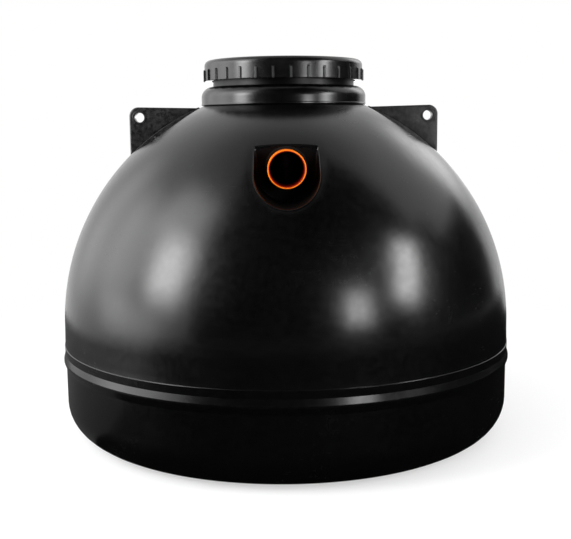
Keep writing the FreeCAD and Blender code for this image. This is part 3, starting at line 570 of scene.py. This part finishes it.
def shell_skin(points, faces, lower, dome_rows, columns, offset, block_half):
    """Adds one surface of the shell. Returns its neck loop and its pipe hole loops.

    lower holds the (radius, height) of the rows under the dome.
    """
    heights, block_rows = dome_rows
    rows = [(r, z, 1.0, 0.0) for r, z in lower]
    rows += [dome_row(z, offset) for z in heights]
    if offset > 0:
        rows[-1] = (CROWN_C[0] + math.sqrt((CROWN_R - offset) ** 2 - (NECK_Z - CROWN_C[1]) ** 2),
                    NECK_Z, rows[-1][2], rows[-1][3])
    table = np.array(rows)
    azimuth = -math.pi / 2 + 2 * math.pi * np.arange(columns) / columns
    radius = table[:, 0][:, None]
    x = radius * np.cos(azimuth)
    y = radius * np.sin(azimuth)
    z = np.repeat(table[:, 1][:, None], columns, axis=1)
    nx = table[:, 2][:, None] * np.cos(azimuth)
    ny = table[:, 2][:, None] * np.sin(azimuth)
    nz = np.repeat(table[:, 3][:, None], columns, axis=1)
    dome = slice(len(lower), None)
    cut = scoop_depth(x[dome], y[dome], z[dome], nx[dome], ny[dome], nz[dome])
    cut = np.where(cut > 1e-3, cut, 0.0)
    for place, normal in ((x, nx), (y, ny), (z, nz)):
        place[dome] -= cut * normal[dome]
    base = len(points)
    for i in range(len(rows)):
        for j in range(columns):
            points.append((float(x[i, j]), float(y[i, j]), float(z[i, j])))

    def at(i, j):
        return base + i * columns + j % columns

    first = len(lower) + block_rows[0]
    last = len(lower) + block_rows[1]
    centres = (0, columns // 2)

    def in_block(i, j):
        if not first <= i < last:
            return False
        for centre in centres:
            away = (j - centre + columns // 2) % columns - columns // 2
            if -block_half <= away < block_half:
                return True
        return False

    floor_centre = len(points)
    points.append((0.0, 0.0, lower[0][1]))
    for j in range(columns):
        faces.append((floor_centre, at(0, j), at(0, j + 1)))
    for i in range(len(rows) - 1):
        for j in range(columns):
            if not in_block(i, j):
                faces.append((at(i, j), at(i, j + 1), at(i + 1, j + 1), at(i + 1, j)))
    holes = []
    for centre, side, pipe_z in zip(centres, (1, -1), (INLET_Z, OUTLET_Z)):
        loop = [at(first, centre + k) for k in range(0, block_half)]
        loop += [at(i, centre + block_half) for i in range(first, last)]
        loop += [at(last, centre + k) for k in range(block_half, -block_half, -1)]
        loop += [at(i, centre - block_half) for i in range(last, first, -1)]
        loop += [at(first, centre + k) for k in range(-block_half, 0)]
        seen = [(points[v][0] * side, points[v][1] * side, points[v][2]) for v in loop]
        rings = [loop]
        for ring in recess_rings(seen, offset, pipe_z):
            rings.append(list(range(len(points), len(points) + len(ring))))
            points.extend((float(x) * side, float(y) * side, float(z)) for x, y, z in ring)
        faces.extend(ring_faces(rings))
        holes.append(rings[-1])
    neck = [at(len(rows) - 1, j) for j in range(columns)]
    return neck, holes


def in_recess(x, y, z):
    """Whether a point of the shell is on the walls or the panel of a pipe recess. These faces get
    painted shade, which along the top reaches up over the edge of the opening.
    """
    if abs(x) > RECESS_HALF or not RECESS_FOOT_Z < z < RECESS_TOP_Z + 2.5:
        return False
    sunk = 1.2 if z > RECESS_TOP_Z - RECESS_TOP_BAND else 11.5
    return math.hypot(x, y) < float(dome_radius(z)) - sunk and abs(y) > RECESS_PANEL - 3.0


def shell_moulding():
    """The whole shell below the collar, as one skin with an outside and an inside."""
    points = []
    faces = []
    edge = rounded([
        (0.0, 0.0, 0), (SKIRT_R, 0.0, BASE_EDGE_R), (SKIRT_R, 230.0, 10.0), (BELT_R, 251.0, 5.0),
        (BELT_R, 257.0, 8.0), (746.8, 277.0, 3.0), (748.4, LEDGE_Z, 1.4), (LEDGE_R, LEDGE_Z, 0.8),
        (746.0, 322.0, 0),
    ], 9.0)
    outer_low = [(60.0, 0.0), (320.0, 0.0)] + edge[1:] + [(745.3, 345.0)]
    crown = np.linspace(math.asin((CUT_HIGH - CROWN_C[1]) / CROWN_R),
                        math.asin((NECK_Z - CROWN_C[1]) / CROWN_R), 27)
    outer_rows = row_heights(33, 57, [CROWN_C[1] + CROWN_R * math.sin(a) for a in crown])
    outer_neck, outer_holes = shell_skin(points, faces, outer_low, outer_rows, 480, 0.0, 28)
    inner_low = [(60.0, SHELL), (SKIRT_R - BASE_EDGE_R, SHELL)]
    for k in range(1, 7):
        angle = math.radians(15.0 * k)
        reach = BASE_EDGE_R - SHELL
        inner_low.append((SKIRT_R - BASE_EDGE_R + reach * math.sin(angle),
                          BASE_EDGE_R - reach * math.cos(angle)))
    inner_low += [(SKIRT_R - SHELL, 236.0), (LEDGE_R - SHELL, LEDGE_Z)]
    inner_rows = row_heights(9, 15, list(np.linspace(CUT_HIGH, NECK_Z, 6)))
    inner_neck, inner_holes = shell_skin(points, faces, inner_low, inner_rows, 120, SHELL, 7)
    bridge(faces, outer_neck, inner_neck)
    for many, few in zip(outer_holes, inner_holes):
        bridge(faces, many, few)
    piece = make_object("shell_moulding", points, faces, shell_black, "tank", "tank_shell")
    # The recesses get the painted shade.
    paint(piece, recess_shade, in_recess)
    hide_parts("tank_floor", "base_skirt", "belt_ring", "tank_wall",
                "dome_front_right", "dome_front_left", "dome_back_right", "dome_back_left",
                "inlet_recess", "outlet_recess")


# Collar and neck

RING_INNER = 222.0
RING_R = 234.0
COLLAR_R = 273.5
COLLAR_INNER = 238.4
COLLAR_EDGE = 3.0
COLLAR_FOOT = CROWN_C[1] + 0.5 + math.sqrt(
    CROWN_R ** 2 - (COLLAR_R - COLLAR_EDGE - CROWN_C[0]) ** 2)
COLLAR_TOP = COLLAR_FOOT + 61.2
RING_TOP = COLLAR_TOP + 62.0


def collar():
    profile = closed_rounded([
        (COLLAR_INNER, NECK_Z, 0), (NECK_R, NECK_Z, 0), (COLLAR_R + 0.8, COLLAR_FOOT - 0.9, 2.4),
        (COLLAR_R + 0.8, COLLAR_FOOT + 5.0, 2.0), (COLLAR_R, COLLAR_FOOT + 7.0, 1.5),
        (COLLAR_R, COLLAR_TOP, 35.0), (RING_INNER, COLLAR_TOP, 0),
        (RING_INNER, COLLAR_TOP - SHELL, 0), (COLLAR_R - SHELL, COLLAR_TOP - SHELL, 27.0),
        (COLLAR_R - SHELL, NECK_Z + SHELL, 0), (COLLAR_INNER, NECK_Z + SHELL, 0),
    ], 6.0)
    piece = make_object("manhole_collar_skin", *lathe(profile, turns(256)), shell_black, "tank",
                        "tank_shell")
    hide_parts("manhole_collar")


NECK_COLUMNS = 240
THREAD_PITCH = 15.0
THREAD_RISE = 2.6
THREAD_HALF = 3.4
THREAD_FLANK = 1.8
THREAD_FADE = 3.0


def thread(radius, height, column):
    """Radius of the neck ring with its screw thread."""
    if radius < RING_R - 0.5:
        return radius
    start, end = COLLAR_TOP + 22.0, RING_TOP - 5.0
    fade = max(0.0, min(1.0, (height - start) / THREAD_FADE, (end - height) / THREAD_FADE))
    turn = (height / THREAD_PITCH - column / NECK_COLUMNS) % 1.0
    away = abs(turn - 0.5) * THREAD_PITCH
    return radius + THREAD_RISE * smooth_step((THREAD_HALF - away) / THREAD_FLANK) * fade


def neck():
    low = COLLAR_TOP - 0.5
    profile = [(RING_INNER, low), (RING_R, low)]
    rows = 48
    for k in range(1, rows):
        profile.append((RING_R, COLLAR_TOP + (RING_TOP - 2.0 - COLLAR_TOP) * k / rows))
    profile += [(RING_R, RING_TOP - 1.6), (RING_R - 0.6, RING_TOP - 0.5),
                (RING_R - 1.8, RING_TOP), (RING_INNER + 1.5, RING_TOP),
                (RING_INNER, RING_TOP - 1.5)]
    piece = make_object("neck_ring_threaded", *lathe(profile, turns(NECK_COLUMNS), shape=thread),
                        neck_shade, "tank", "tank_shell")
    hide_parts("neck_ring")


# Screw lid

GRIP_COUNT = 30
GRIP_DEPTH = 4.9
GRIP_HALF = 4.3
GRIP_FLANK = 1.5
GRIP_TALL = 38.0
GRIP_FROM_R = 252.0
# Share of the grip depth above which the ribs get the painted highlight.
GRIP_HIGHLIGHT_SHARE = 0.72
RIB_COUNT = 8
RIB_INNER = 50.0
RIB_OUTER = 233.5
RIB_HALF = 4.0
RIB_TALL = 5.0
RIB_EDGE = 1.4
SEAL_GAP = 0.3
SEAL_THICK = 5.0
LID_R = 262.0
LID_INNER = RING_R + 6.0
LID_SHOULDER_R = 250.5
LID_RIM_R = 236.0
LID_WELL_R = 232.0
LID_FOOT = COLLAR_TOP + 18.4
LID_PLATE_FOOT = RING_TOP + SEAL_GAP + SEAL_THICK + SEAL_GAP
LID_PLATE_TOP = LID_PLATE_FOOT + 7.4
LID_TOP = LID_PLATE_TOP + 10.0
LID_TURN = math.radians(-1.6)
GRIP_STOPS = (-27.4, -20.0, -13.0, -7.5, -4.9, -4.3, -3.9, -3.4, -2.9, -2.2, 0.0, 2.2, 2.9,
              3.4, 3.9, 4.3, 4.9, 7.5, 13.0, 20.0)


def gripped(radius, height, column):
    """Radius of the lid with its grip ribs."""
    if radius <= GRIP_FROM_R:
        return radius
    away = GRIP_STOPS[column % len(GRIP_STOPS)]
    side = smooth_step((GRIP_HALF - abs(away)) / GRIP_FLANK)
    top = smooth_step((LID_FOOT + GRIP_TALL - height) / 3.0)
    foot = smooth_step((height - LID_FOOT + 1.0) / 2.0)
    rise = GRIP_DEPTH * side * top * (0.35 + 0.65 * foot)
    return radius + rise * smooth_step((radius - GRIP_FROM_R) / 6.0)


def bar(inner, outer, half, low, high, turn, edge):
    """Radial bar with rounded long edges."""
    section = [(-half, low), (-half, high - edge), (-half + edge * 0.3, high - edge * 0.3),
               (-half + edge, high), (half - edge, high), (half - edge * 0.3, high - edge * 0.3),
               (half, high - edge), (half, low)]
    points = []
    for reach in (inner, outer):
        for across, up in section:
            points.append((reach * math.cos(turn) - across * math.sin(turn),
                           reach * math.sin(turn) + across * math.cos(turn), up))
    count = len(section)
    faces = [(k, (k + 1) % count, count + (k + 1) % count, count + k) for k in range(count)]
    faces.append(tuple(range(count)))
    faces.append(tuple(range(count, 2 * count)))
    return points, faces


def screw_lid():
    outer = rounded([
        (LID_INNER, LID_FOOT, 0), (LID_R, LID_FOOT, 1.6), (LID_R, LID_TOP - 8.0, 17.0),
        (LID_SHOULDER_R, LID_TOP, 5.0), (LID_RIM_R, LID_TOP, 2.5),
        (LID_WELL_R, LID_PLATE_TOP, 2.5), (60.0, LID_PLATE_TOP, 0),
    ], 7.0)
    profile = []
    for first, last in zip(outer, outer[1:]):
        profile.append(first)
        span = math.dist(first, last)
        if first[0] > LID_R - 3 and span > 6:
            pieces = int(span / 3.0)
            profile += [between(first, last, k, pieces) for k in range(1, pieces)]
    profile.append(outer[-1])
    profile += [(0.0, LID_PLATE_TOP), (0.0, LID_PLATE_FOOT), (LID_INNER - 1.0, LID_PLATE_FOOT),
                (LID_INNER, LID_PLATE_FOOT - 1.0)]
    angles = [2 * math.pi * number / GRIP_COUNT + away / LID_R + LID_TURN
              for number in range(GRIP_COUNT) for away in GRIP_STOPS]
    parts = [lathe(profile, angles, shape=gripped)]
    for turn in turns(RIB_COUNT):
        parts.append(bar(RIB_INNER, RIB_OUTER, RIB_HALF, LID_PLATE_TOP - 1.0,
                         LID_PLATE_TOP + RIB_TALL, turn + LID_TURN, RIB_EDGE))
    piece = make_object("screw_lid_ribbed", *joined(parts), lid_black, "lid", "lid_plastic", 35.0)
    # The outer part of each grip rib gets the painted highlight.
    paint(piece, grip_highlight, lambda x, y, z: math.hypot(x, y) > LID_R + GRIP_HIGHLIGHT_SHARE * GRIP_DEPTH)
    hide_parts("screw_lid")


# Lifting ears

EAR_IN = 281.0
EAR_OUT = 515.0
EAR_TOP_IN = 1070.5
EAR_TOP_OUT = 1075.7
EAR_CORNER = 30.0
EYE_X = 481.5
EYE_Z = 1041.0
EYE_R = 16.0
EYE_RING_R = 24.4
EYE_RING_RISE = 1.6
WEB_IN = 284.0
WEB_OUT = 513.0
WEB_HALF = EAR_HALF + 1.5
PIP_STRETCH = 1.5
PIP_PROFILE = [(0.0, EAR_HALF), (3.8, EAR_HALF), (3.8, EAR_HALF + 3.2), (3.2, EAR_HALF + 4.6),
               (2.0, EAR_HALF + 5.6), (0.0, EAR_HALF + 6.0)]


def plate(outline, holes, half, edge):
    """Upright plate with rounded edges, from an outline (x, z) and holes (x, z, radius)."""
    points = []
    edges_of_caps = {1: [], -1: []}
    faces = []
    loops = [(np.array(outline), 1.0)]
    quarter = [math.pi / 2 * k / 5 for k in range(6)]
    stations = [(edge * (1 - math.cos(a)), half - edge + edge * math.sin(a)) for a in quarter]
    stations = [(away, -y) for away, y in reversed(stations)] + stations
    for x, z, radius in holes:
        angles = np.linspace(0, 2 * math.pi, 49)[:-1]
        loops.append((np.stack([x + radius * np.cos(angles), z + radius * np.sin(angles)],
                               axis=1), -1.0))
    for line, inward in loops:
        area = 0.5 * np.sum(line[:, 0] * np.roll(line[:, 1], -1)
                            - np.roll(line[:, 0], -1) * line[:, 1])
        if area < 0:
            line = line[::-1]
        tangent = np.roll(line, -1, axis=0) - np.roll(line, 1, axis=0)
        tangent /= np.maximum(np.linalg.norm(tangent, axis=1), 1e-9)[:, None]
        normals = np.stack([tangent[:, 1], -tangent[:, 0]], axis=1) * inward
        rings = []
        for away, y in stations:
            rings.append(list(range(len(points), len(points) + len(line))))
            points.extend((float(x), y, float(z)) for x, z in line - normals * away)
        faces.extend(ring_faces(rings))
        edges_of_caps[-1].append(rings[0])
        edges_of_caps[1].append(rings[-1])
    for side in (1, -1):
        work = bmesh.new()
        names = {}
        for ring in edges_of_caps[side]:
            made = []
            for vertex in ring:
                spot = work.verts.new(points[vertex])
                names[spot] = vertex
                made.append(spot)
            for a, b in zip(made, made[1:] + made[:1]):
                work.edges.new((a, b))
        filled = bmesh.ops.triangle_fill(work, use_beauty=True, use_dissolve=False,
                                         edges=work.edges[:])
        for item in filled["geom"]:
            if isinstance(item, bmesh.types.BMFace):
                faces.append(tuple(names[v] for v in item.verts))
        work.free()
    return points, faces


def dome_height(x):
    """Height of the dome's crown at a distance from the axis."""
    return CROWN_C[1] + math.sqrt(CROWN_R ** 2 - (x - CROWN_C[0]) ** 2)


def on_ear(part, direction, across, up, stretch=1.0):
    """A turned part set on one face of an ear."""
    points, faces = part
    return [(x * stretch + across, y * direction, z + up) for x, y, z in points], faces


def ear(name, side, cad_node):
    """Lifting ear with its eye, and the web that carries it, with its pips."""
    foot = []
    for k in range(24):
        x = EAR_OUT + (EAR_IN - EAR_OUT) * k / 23
        foot.append((x, dome_height(x) - 3.0, 0))
    corners = [(EAR_OUT, EAR_TOP_OUT, EAR_CORNER), (EAR_IN, EAR_TOP_IN, 0)]
    outline = spread(closed_rounded(foot[::-1] + corners, 7.0), 12.0)
    parts = [plate(outline, [(EYE_X, EYE_Z, EYE_R)], EAR_HALF, 5.0)]
    sunk = EAR_HALF - 2.0
    proud = EAR_HALF + EYE_RING_RISE
    eye_ring = closed_rounded([
        (EYE_R + 0.4, sunk, 0), (EYE_R + 0.4, proud, 0.9), (EYE_RING_R - 1.4, proud, 1.4),
        (EYE_RING_R, sunk, 0)], 20.0)
    for direction in (1.0, -1.0):
        parts.append(on_ear(lathe(eye_ring, turns(48), axis="Y"), direction, EYE_X, EYE_Z))
    top = []
    low = []
    for k in range(33):
        x = WEB_IN + (WEB_OUT - WEB_IN) * k / 32
        dome = dome_height(x)
        top.append((x, dome - 0.2))
        low.append((x, min(float(scoop_floor(x, WEB_HALF)), dome) - 5.0))
    parts.append(plate(spread(top[::-1] + low, 10.0), [], WEB_HALF, 1.6))
    for direction in (1.0, -1.0):
        parts.append(on_ear(lathe(PIP_PROFILE, turns(24), axis="Y"), direction,
                            SCOOP_REACH - 4.0, SCOOP_Z + 14.0, PIP_STRETCH))
    points, faces = joined(parts)
    points = [(x * side, y * side, z) for x, y, z in points]
    piece = make_object(name, points, faces, ear_black, "tank", "tank_shell", 38.0)
    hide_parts(cad_node)


# Pipes

PIPE_COLUMNS = 96
PIPE_R = 55.0
BORE_R = 49.4
SOCKET_R = 53.5
STUB_IN = 406.0
STUB_STEP = 473.6
STUB_OUT = 566.0
# Painted shade inside the pipe bores: the radius it covers, and where it fades from dark red to
# near black.
BORE_SHADE_R = 51.3
BORE_SHADE_OUT = 520.0
BORE_SHADE_IN = 415.0
TEE_Y = 370.0
# Radii inside which the tee's walls get painted shade.
TEE_SHADE_R = 52.0
TEE_SHADE_FADE_R = 53.5
SLEEVE_BORE_R = 53.8
SLEEVE_R = 58.8
SLEEVE_LIP_R = 62.8
SLEEVE_IN = 458.7
SLEEVE_OUT = 473.3
LIP_THICK = 3.0


def pipe_piece(name, profile, height, side, material, slot):
    """Outline (radius, distance from the axis of the tank) turned round a pipe's axis."""
    points, faces = lathe(profile, turns(PIPE_COLUMNS), axis="Y")
    points = [(x * side, y * side, z + height) for x, y, z in points]
    return make_object(name, points, faces, material, "tank", slot, 35.0)


def shaded_bore(name, near, far):
    """Pipe bore with painted shade: dark red near its open end, turning near black further in,
    along an uneven edge.
    """
    material = plastic(name, (0.002, 0.001, 0.001), (0.004, 0.002, 0.001), (0.45, 0.60),
                       0.00001, 0.0001, 0.2, 0.1)
    tree = material.node_tree
    shader = tree.nodes["Principled BSDF"]
    place = node_of(tree, "ShaderNodeTexCoord").outputs["Object"]
    parts = tree.nodes.new("ShaderNodeSeparateXYZ")
    tree.links.new(place, parts.inputs[0])
    along = maths(tree, "ABSOLUTE", parts.outputs["Y"], 0.0)
    wander = maths(tree, "MULTIPLY", noise(tree, place, 45.0, 3.0), 0.060)
    depth = ramp(tree, maths(tree, "ADD", along, wander), far, near, 0.0, 1.0)
    # Painted shade: near black deep in the bore, dark red towards its mouth.
    colour = mixed(tree, depth, (0.0012, 0.0004, 0.0003), (0.22, 0.008, 0.001))
    tree.links.new(colour, shader.inputs["Base Color"])
    return material


pipe_bore = shaded_bore("pipe_bore", BORE_SHADE_OUT * MM, BORE_SHADE_IN * MM)


def tee_plastic(name, side, height):
    """Orange pipe plastic, with painted shade: the walls inside the tee turn near black."""
    material = plastic(name, *ORANGE)
    tree = material.node_tree
    shader = tree.nodes["Principled BSDF"]
    unshaded_orange = shader.inputs["Base Color"].links[0].from_socket
    place = node_of(tree, "ShaderNodeTexCoord").outputs["Object"]
    inside = None
    for centre, stretch in (((0.0, 0.0, height), (1.0, 0.0, 1.0)),
                            ((0.0, side * TEE_Y * MM, 0.0), (1.0, 1.0, 0.0))):
        moved = node_of(tree, "ShaderNodeVectorMath", {1: centre}, operation="SUBTRACT")
        tree.links.new(place, moved.inputs[0])
        across = node_of(tree, "ShaderNodeVectorMath", {1: stretch}, operation="MULTIPLY")
        tree.links.new(moved.outputs[0], across.inputs[0])
        length = node_of(tree, "ShaderNodeVectorMath", operation="LENGTH")
        tree.links.new(across.outputs[0], length.inputs[0])
        share = ramp(tree, length.outputs["Value"], TEE_SHADE_FADE_R * MM, TEE_SHADE_R * MM, 0.0, 1.0)
        inside = share if inside is None else maths(tree, "MAXIMUM", inside, share)
    # Painted shade on the tee's inner walls.
    shaded_colour = mixed(tree, inside, unshaded_orange, (0.0012, 0.0008, 0.0006))
    tree.links.new(shaded_colour, shader.inputs["Base Color"])
    return material


def stub(name, side, height, cad_node):
    profile = closed_rounded([
        (BORE_R, STUB_IN, 0.5), (BORE_R, STUB_OUT, 2.2), (PIPE_R, STUB_OUT, 1.6),
        (PIPE_R, STUB_STEP, 0.4), (SOCKET_R, STUB_STEP, 0.4), (SOCKET_R, STUB_IN, 0.5)], 20.0)
    piece = pipe_piece(name, profile, height, side, pipe_orange, "orange_pipe")
    # The bore's faces get the painted shade.
    paint(piece, pipe_bore, lambda x, y, z: math.hypot(x, z - height) < BORE_SHADE_R)
    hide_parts(cad_node)


def grommet(name, side, height, cad_node):
    outer, inner = SLEEVE_OUT - LIP_THICK, SLEEVE_IN + LIP_THICK
    profile = closed_rounded([
        (SLEEVE_BORE_R, SLEEVE_OUT, 0.6), (SLEEVE_LIP_R, SLEEVE_OUT, 1.4),
        (SLEEVE_LIP_R, outer, 0.5), (SLEEVE_R, outer, 0.3),
        (SLEEVE_R, inner, 0.3), (SLEEVE_LIP_R, inner, 0.5),
        (SLEEVE_LIP_R, SLEEVE_IN, 1.4), (SLEEVE_BORE_R, SLEEVE_IN, 0.6)], 20.0)
    piece = pipe_piece(name, profile, height, side, rubber_black, "pipe_rubber")
    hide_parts(cad_node)


shell_moulding()
collar()
neck()
screw_lid()
ear("lifting_ear_right_skin", 1, "lifting_ear_right")
ear("lifting_ear_left_skin", -1, "lifting_ear_left")
stub("inlet_stub", 1, INLET_Z, "inlet_pipe")
stub("outlet_stub", -1, OUTLET_Z, "outlet_pipe")
grommet("inlet_grommet", 1, INLET_Z, "inlet_seal")
grommet("outlet_grommet", -1, OUTLET_Z, "outlet_seal")

KEPT_SOLIDS = (
    ("lid_seal", rubber_black),
    ("inlet_tee", tee_plastic("inlet_tee_shade", -1, INLET_Z * MM)),
    ("outlet_tee", tee_plastic("outlet_tee_shade", 1, OUTLET_Z * MM)),
    ("inlet_drop_pipe", pipe_orange),
    ("outlet_dip_pipe", pipe_orange),
)

for cad_name, material in KEPT_SOLIDS:
    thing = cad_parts[cad_name]
    if not thing.material_slots:
        thing.data.materials.append(material)
    for entry in thing.material_slots:
        entry.material = material


# Floor and background

WHITE = (1.0, 1.0, 1.0, 1.0)
CLOTH_COLUMNS = 24
CLOTH_ROWS = 8


def blended(tree, factor, first, second, output):
    """Joins two shaders by a factor and sends them to the output."""
    blend = tree.nodes.new("ShaderNodeMixShader")
    tree.links.new(factor, blend.inputs[0])
    tree.links.new(first.outputs[0], blend.inputs[1])
    tree.links.new(second.outputs[0], blend.inputs[2])
    tree.links.new(blend.outputs[0], output.inputs["Surface"])


def background_world():
    """White where it is seen straight, and dimmer from above where it lights the tank."""
    world = bpy.data.worlds.new("studio_world")
    bpy.context.scene.world = world
    world.use_nodes = True
    tree = world.node_tree
    tree.nodes.clear()
    output = tree.nodes.new("ShaderNodeOutputWorld")
    path = tree.nodes.new("ShaderNodeLightPath")
    seen = maths(tree, "MAXIMUM", path.outputs["Is Camera Ray"],
                 path.outputs["Is Transmission Ray"])
    dim = node_of(tree, "ShaderNodeBackground", {"Color": WHITE})
    way = tree.nodes.new("ShaderNodeSeparateXYZ")
    tree.links.new(tree.nodes.new("ShaderNodeTexCoord").outputs["Generated"], way.inputs[0])
    tree.links.new(ramp(tree, way.outputs["Z"], 0.80, 0.98, 1.05, 0.40), dim.inputs["Strength"])
    white = node_of(tree, "ShaderNodeBackground", {"Color": WHITE, "Strength": 1.0})
    blended(tree, seen, dim, white, output)


def floor_material():
    """Pale floor that keeps shadows near the tank and turns white further out."""
    material = bpy.data.materials.new("studio_floor")
    material.use_nodes = True
    tree = material.node_tree
    tree.nodes.clear()
    output = tree.nodes.new("ShaderNodeOutputMaterial")
    place = tree.nodes.new("ShaderNodeTexCoord").outputs["Object"]
    length = node_of(tree, "ShaderNodeVectorMath", operation="LENGTH")
    tree.links.new(place, length.inputs[0])
    share = ramp(tree, length.outputs["Value"], 1.0, 2.4, 0.50, 1.0)
    diffuse = node_of(tree, "ShaderNodeBsdfDiffuse", {"Color": (0.93, 0.93, 0.93, 1.0)})
    glow = node_of(tree, "ShaderNodeEmission", {"Color": WHITE, "Strength": 1.0})
    blended(tree, share, diffuse, glow, output)
    return material


def staged(name, points, faces, material):
    """Mesh object of the studio, from points in metres."""
    mesh = bpy.data.meshes.new(name)
    mesh.from_pydata(points, [], faces)
    mesh.materials.append(material)
    thing = bpy.data.objects.new(name, mesh)
    bpy.context.scene.collection.objects.link(thing)
    return thing


def floor():
    reach = 9.0
    corners = [(-reach, -reach, 0.0), (reach, -reach, 0.0), (reach, reach, 0.0),
               (-reach, reach, 0.0)]
    thing = staged("studio_floor", corners, [(0, 1, 2, 3)], floor_material())
    thing.location.z = -0.001


def cloth(name, points, faces, shade):
    """Dark cloth that only reflections see."""
    material = bpy.data.materials.new(name)
    material.use_nodes = True
    shader = material.node_tree.nodes["Principled BSDF"]
    shader.inputs["Base Color"].default_value = (shade, shade, shade, 1.0)
    shader.inputs["Roughness"].default_value = 1.0
    shader.inputs["Specular IOR Level"].default_value = 0.0
    thing = staged(name, points, faces, material)
    thing.visible_camera = False
    thing.visible_diffuse = False
    thing.visible_shadow = False
    thing.visible_transmission = False


def fan(azimuths):
    """Angles of a cloth's columns, from the front."""
    start, end = azimuths
    return [math.radians(start + (end - start) * j / CLOTH_COLUMNS)
            for j in range(CLOTH_COLUMNS + 1)]


def mat(name, azimuths, inner, outer, shade):
    """Cloth on the floor, a sector between two radii."""
    points = []
    for turn in fan(azimuths):
        for reach in (inner, outer):
            points.append((reach * math.sin(turn), -reach * math.cos(turn), 0.0005))
    faces = [(2 * j, 2 * j + 1, 2 * j + 3, 2 * j + 2) for j in range(CLOTH_COLUMNS)]
    cloth(name, points, faces, shade)


def flag(name, azimuths, heights, distance, shade=0.006):
    """Cloth round a part of the studio."""
    points = []
    faces = []
    for i in range(CLOTH_ROWS + 1):
        up = math.radians(heights[0] + (heights[1] - heights[0]) * i / CLOTH_ROWS)
        for turn in fan(azimuths):
            points.append((distance * math.cos(up) * math.sin(turn),
                           -distance * math.cos(up) * math.cos(turn),
                           distance * math.sin(up)))
    for i in range(CLOTH_ROWS):
        for j in range(CLOTH_COLUMNS):
            a = i * (CLOTH_COLUMNS + 1) + j
            faces.append((a, a + 1, a + CLOTH_COLUMNS + 2, a + CLOTH_COLUMNS + 1))
    cloth(name, points, faces, shade)


def soften(data, core):
    """Makes a softbox fade towards its edges."""
    data.use_nodes = True
    tree = data.node_tree
    emission = [n for n in tree.nodes if n.type == "EMISSION"][0]
    sides = tree.nodes.new("ShaderNodeSeparateXYZ")
    tree.links.new(tree.nodes.new("ShaderNodeNewGeometry").outputs["Parametric"],
                   sides.inputs[0])
    strength = None
    for side in ("X", "Y"):
        away = maths(tree, "ABSOLUTE", maths(tree, "SUBTRACT", sides.outputs[side], 0.5), 0.0)
        fade = node_of(tree, "ShaderNodeMapRange", {"From Min": 0.5, "From Max": core},
                       interpolation_type="SMOOTHSTEP")
        tree.links.new(away, fade.inputs["Value"])
        strength = (fade.outputs["Result"] if strength is None
                    else maths(tree, "MULTIPLY", strength, fade.outputs["Result"]))
    tree.links.new(strength, emission.inputs["Strength"])


def lamp(name, aim, azimuth, height, distance, size, radiance, lean=0.0, core=0.12):
    """Softbox at an azimuth from the front and a height angle, seen from aim."""
    turn = math.radians(azimuth)
    up = math.radians(height)
    way = Vector((math.cos(up) * math.sin(turn), -math.cos(up) * math.cos(turn), math.sin(up)))
    data = bpy.data.lights.new(name, "AREA")
    data.shape = "RECTANGLE"
    data.size = size[0]
    data.size_y = size[1]
    data.energy = radiance * math.pi * size[0] * size[1]
    soften(data, core)
    thing = bpy.data.objects.new(name, data)
    thing.location = Vector(aim) + way * distance
    turned = way.to_track_quat("Z", "Y") @ Quaternion((0.0, 0.0, 1.0), math.radians(-lean))
    thing.rotation_euler = turned.to_euler()
    bpy.context.scene.collection.objects.link(thing)
    thing.visible_camera = False


background_world()
floor()
flag("dark_front", (-46.0, 90.0), (-20.0, 37.0), 6.0)
flag("dark_above", (-46.0, 77.0), (37.0, 76.0), 6.0)
flag("dark_right", (90.0, 127.0), (-20.0, 28.0), 6.0)
mat("dark_mat", (-62.0, 135.0), 0.60, 5.5, 0.004)
mat("grey_mat", (-225.0, -62.0), 0.60, 2.6, 0.08)
lamp("key_left", (-0.34, -0.60, 0.63), -65.2, 22.5, 3.2, (1.90, 2.45), 13.5)
lamp("key_above", (-0.30, -0.55, 0.75), -72.0, 44.0, 3.4, (2.6, 2.3), 3.4)
lamp("key_below", (-0.40, -0.60, 0.45), -84.0, 0.0, 3.4, (3.8, 1.3), 2.6)
lamp("left_inner", (-0.40, -0.45, 0.70), -94.0, 21.0, 3.5, (2.6, 4.0), 3.0)
lamp("left_wall", (-0.50, -0.30, 0.70), -118.0, 20.0, 3.8, (3.2, 4.6), 1.45)
lamp("front_right", (0.19, -0.70, 0.53), 35.3, 10.5, 3.0, (0.88, 1.05), 10.5, 0.0, 0.28)
lamp("side_right", (0.33, -0.61, 0.64), 65.8, 20.0, 3.0, (0.88, 1.80), 14.0, 25.0, 0.30)
lamp("back_right", (0.35, -0.10, 0.90), 140.0, 26.0, 3.8, (2.2, 2.6), 2.0)
lamp("back_low", (0.0, 0.20, 0.80), 176.0, 1.0, 4.5, (4.4, 1.0), 4.0)


# Camera

def camera():
    """Camera at the photograph's place: turned, tilted and rolled a little."""
    place = Vector((-0.0432, -3.247, 1.0077))
    yaw = 0.0136
    pitch = 0.1488
    roll = -0.0095
    focal_px = 954.8
    frame_px = 571.0
    ahead = Vector((math.sin(yaw) * math.cos(pitch), math.cos(yaw) * math.cos(pitch),
                    -math.sin(pitch)))
    level = Vector((math.cos(yaw), -math.sin(yaw), 0.0))
    above = level.cross(ahead)
    right = level * math.cos(roll) + above * math.sin(roll)
    up = above * math.cos(roll) - level * math.sin(roll)
    data = bpy.data.cameras.new("camera")
    data.sensor_width = 36.0
    data.lens = focal_px * data.sensor_width / frame_px
    data.clip_end = 100.0
    thing = bpy.data.objects.new("camera", data)
    turned = Matrix((right, up, -ahead)).transposed().to_4x4()
    thing.matrix_world = Matrix.Translation(place) @ turned
    bpy.context.scene.collection.objects.link(thing)
    bpy.context.scene.camera = thing


camera()
bpy.context.scene.view_settings.view_transform = "Standard"
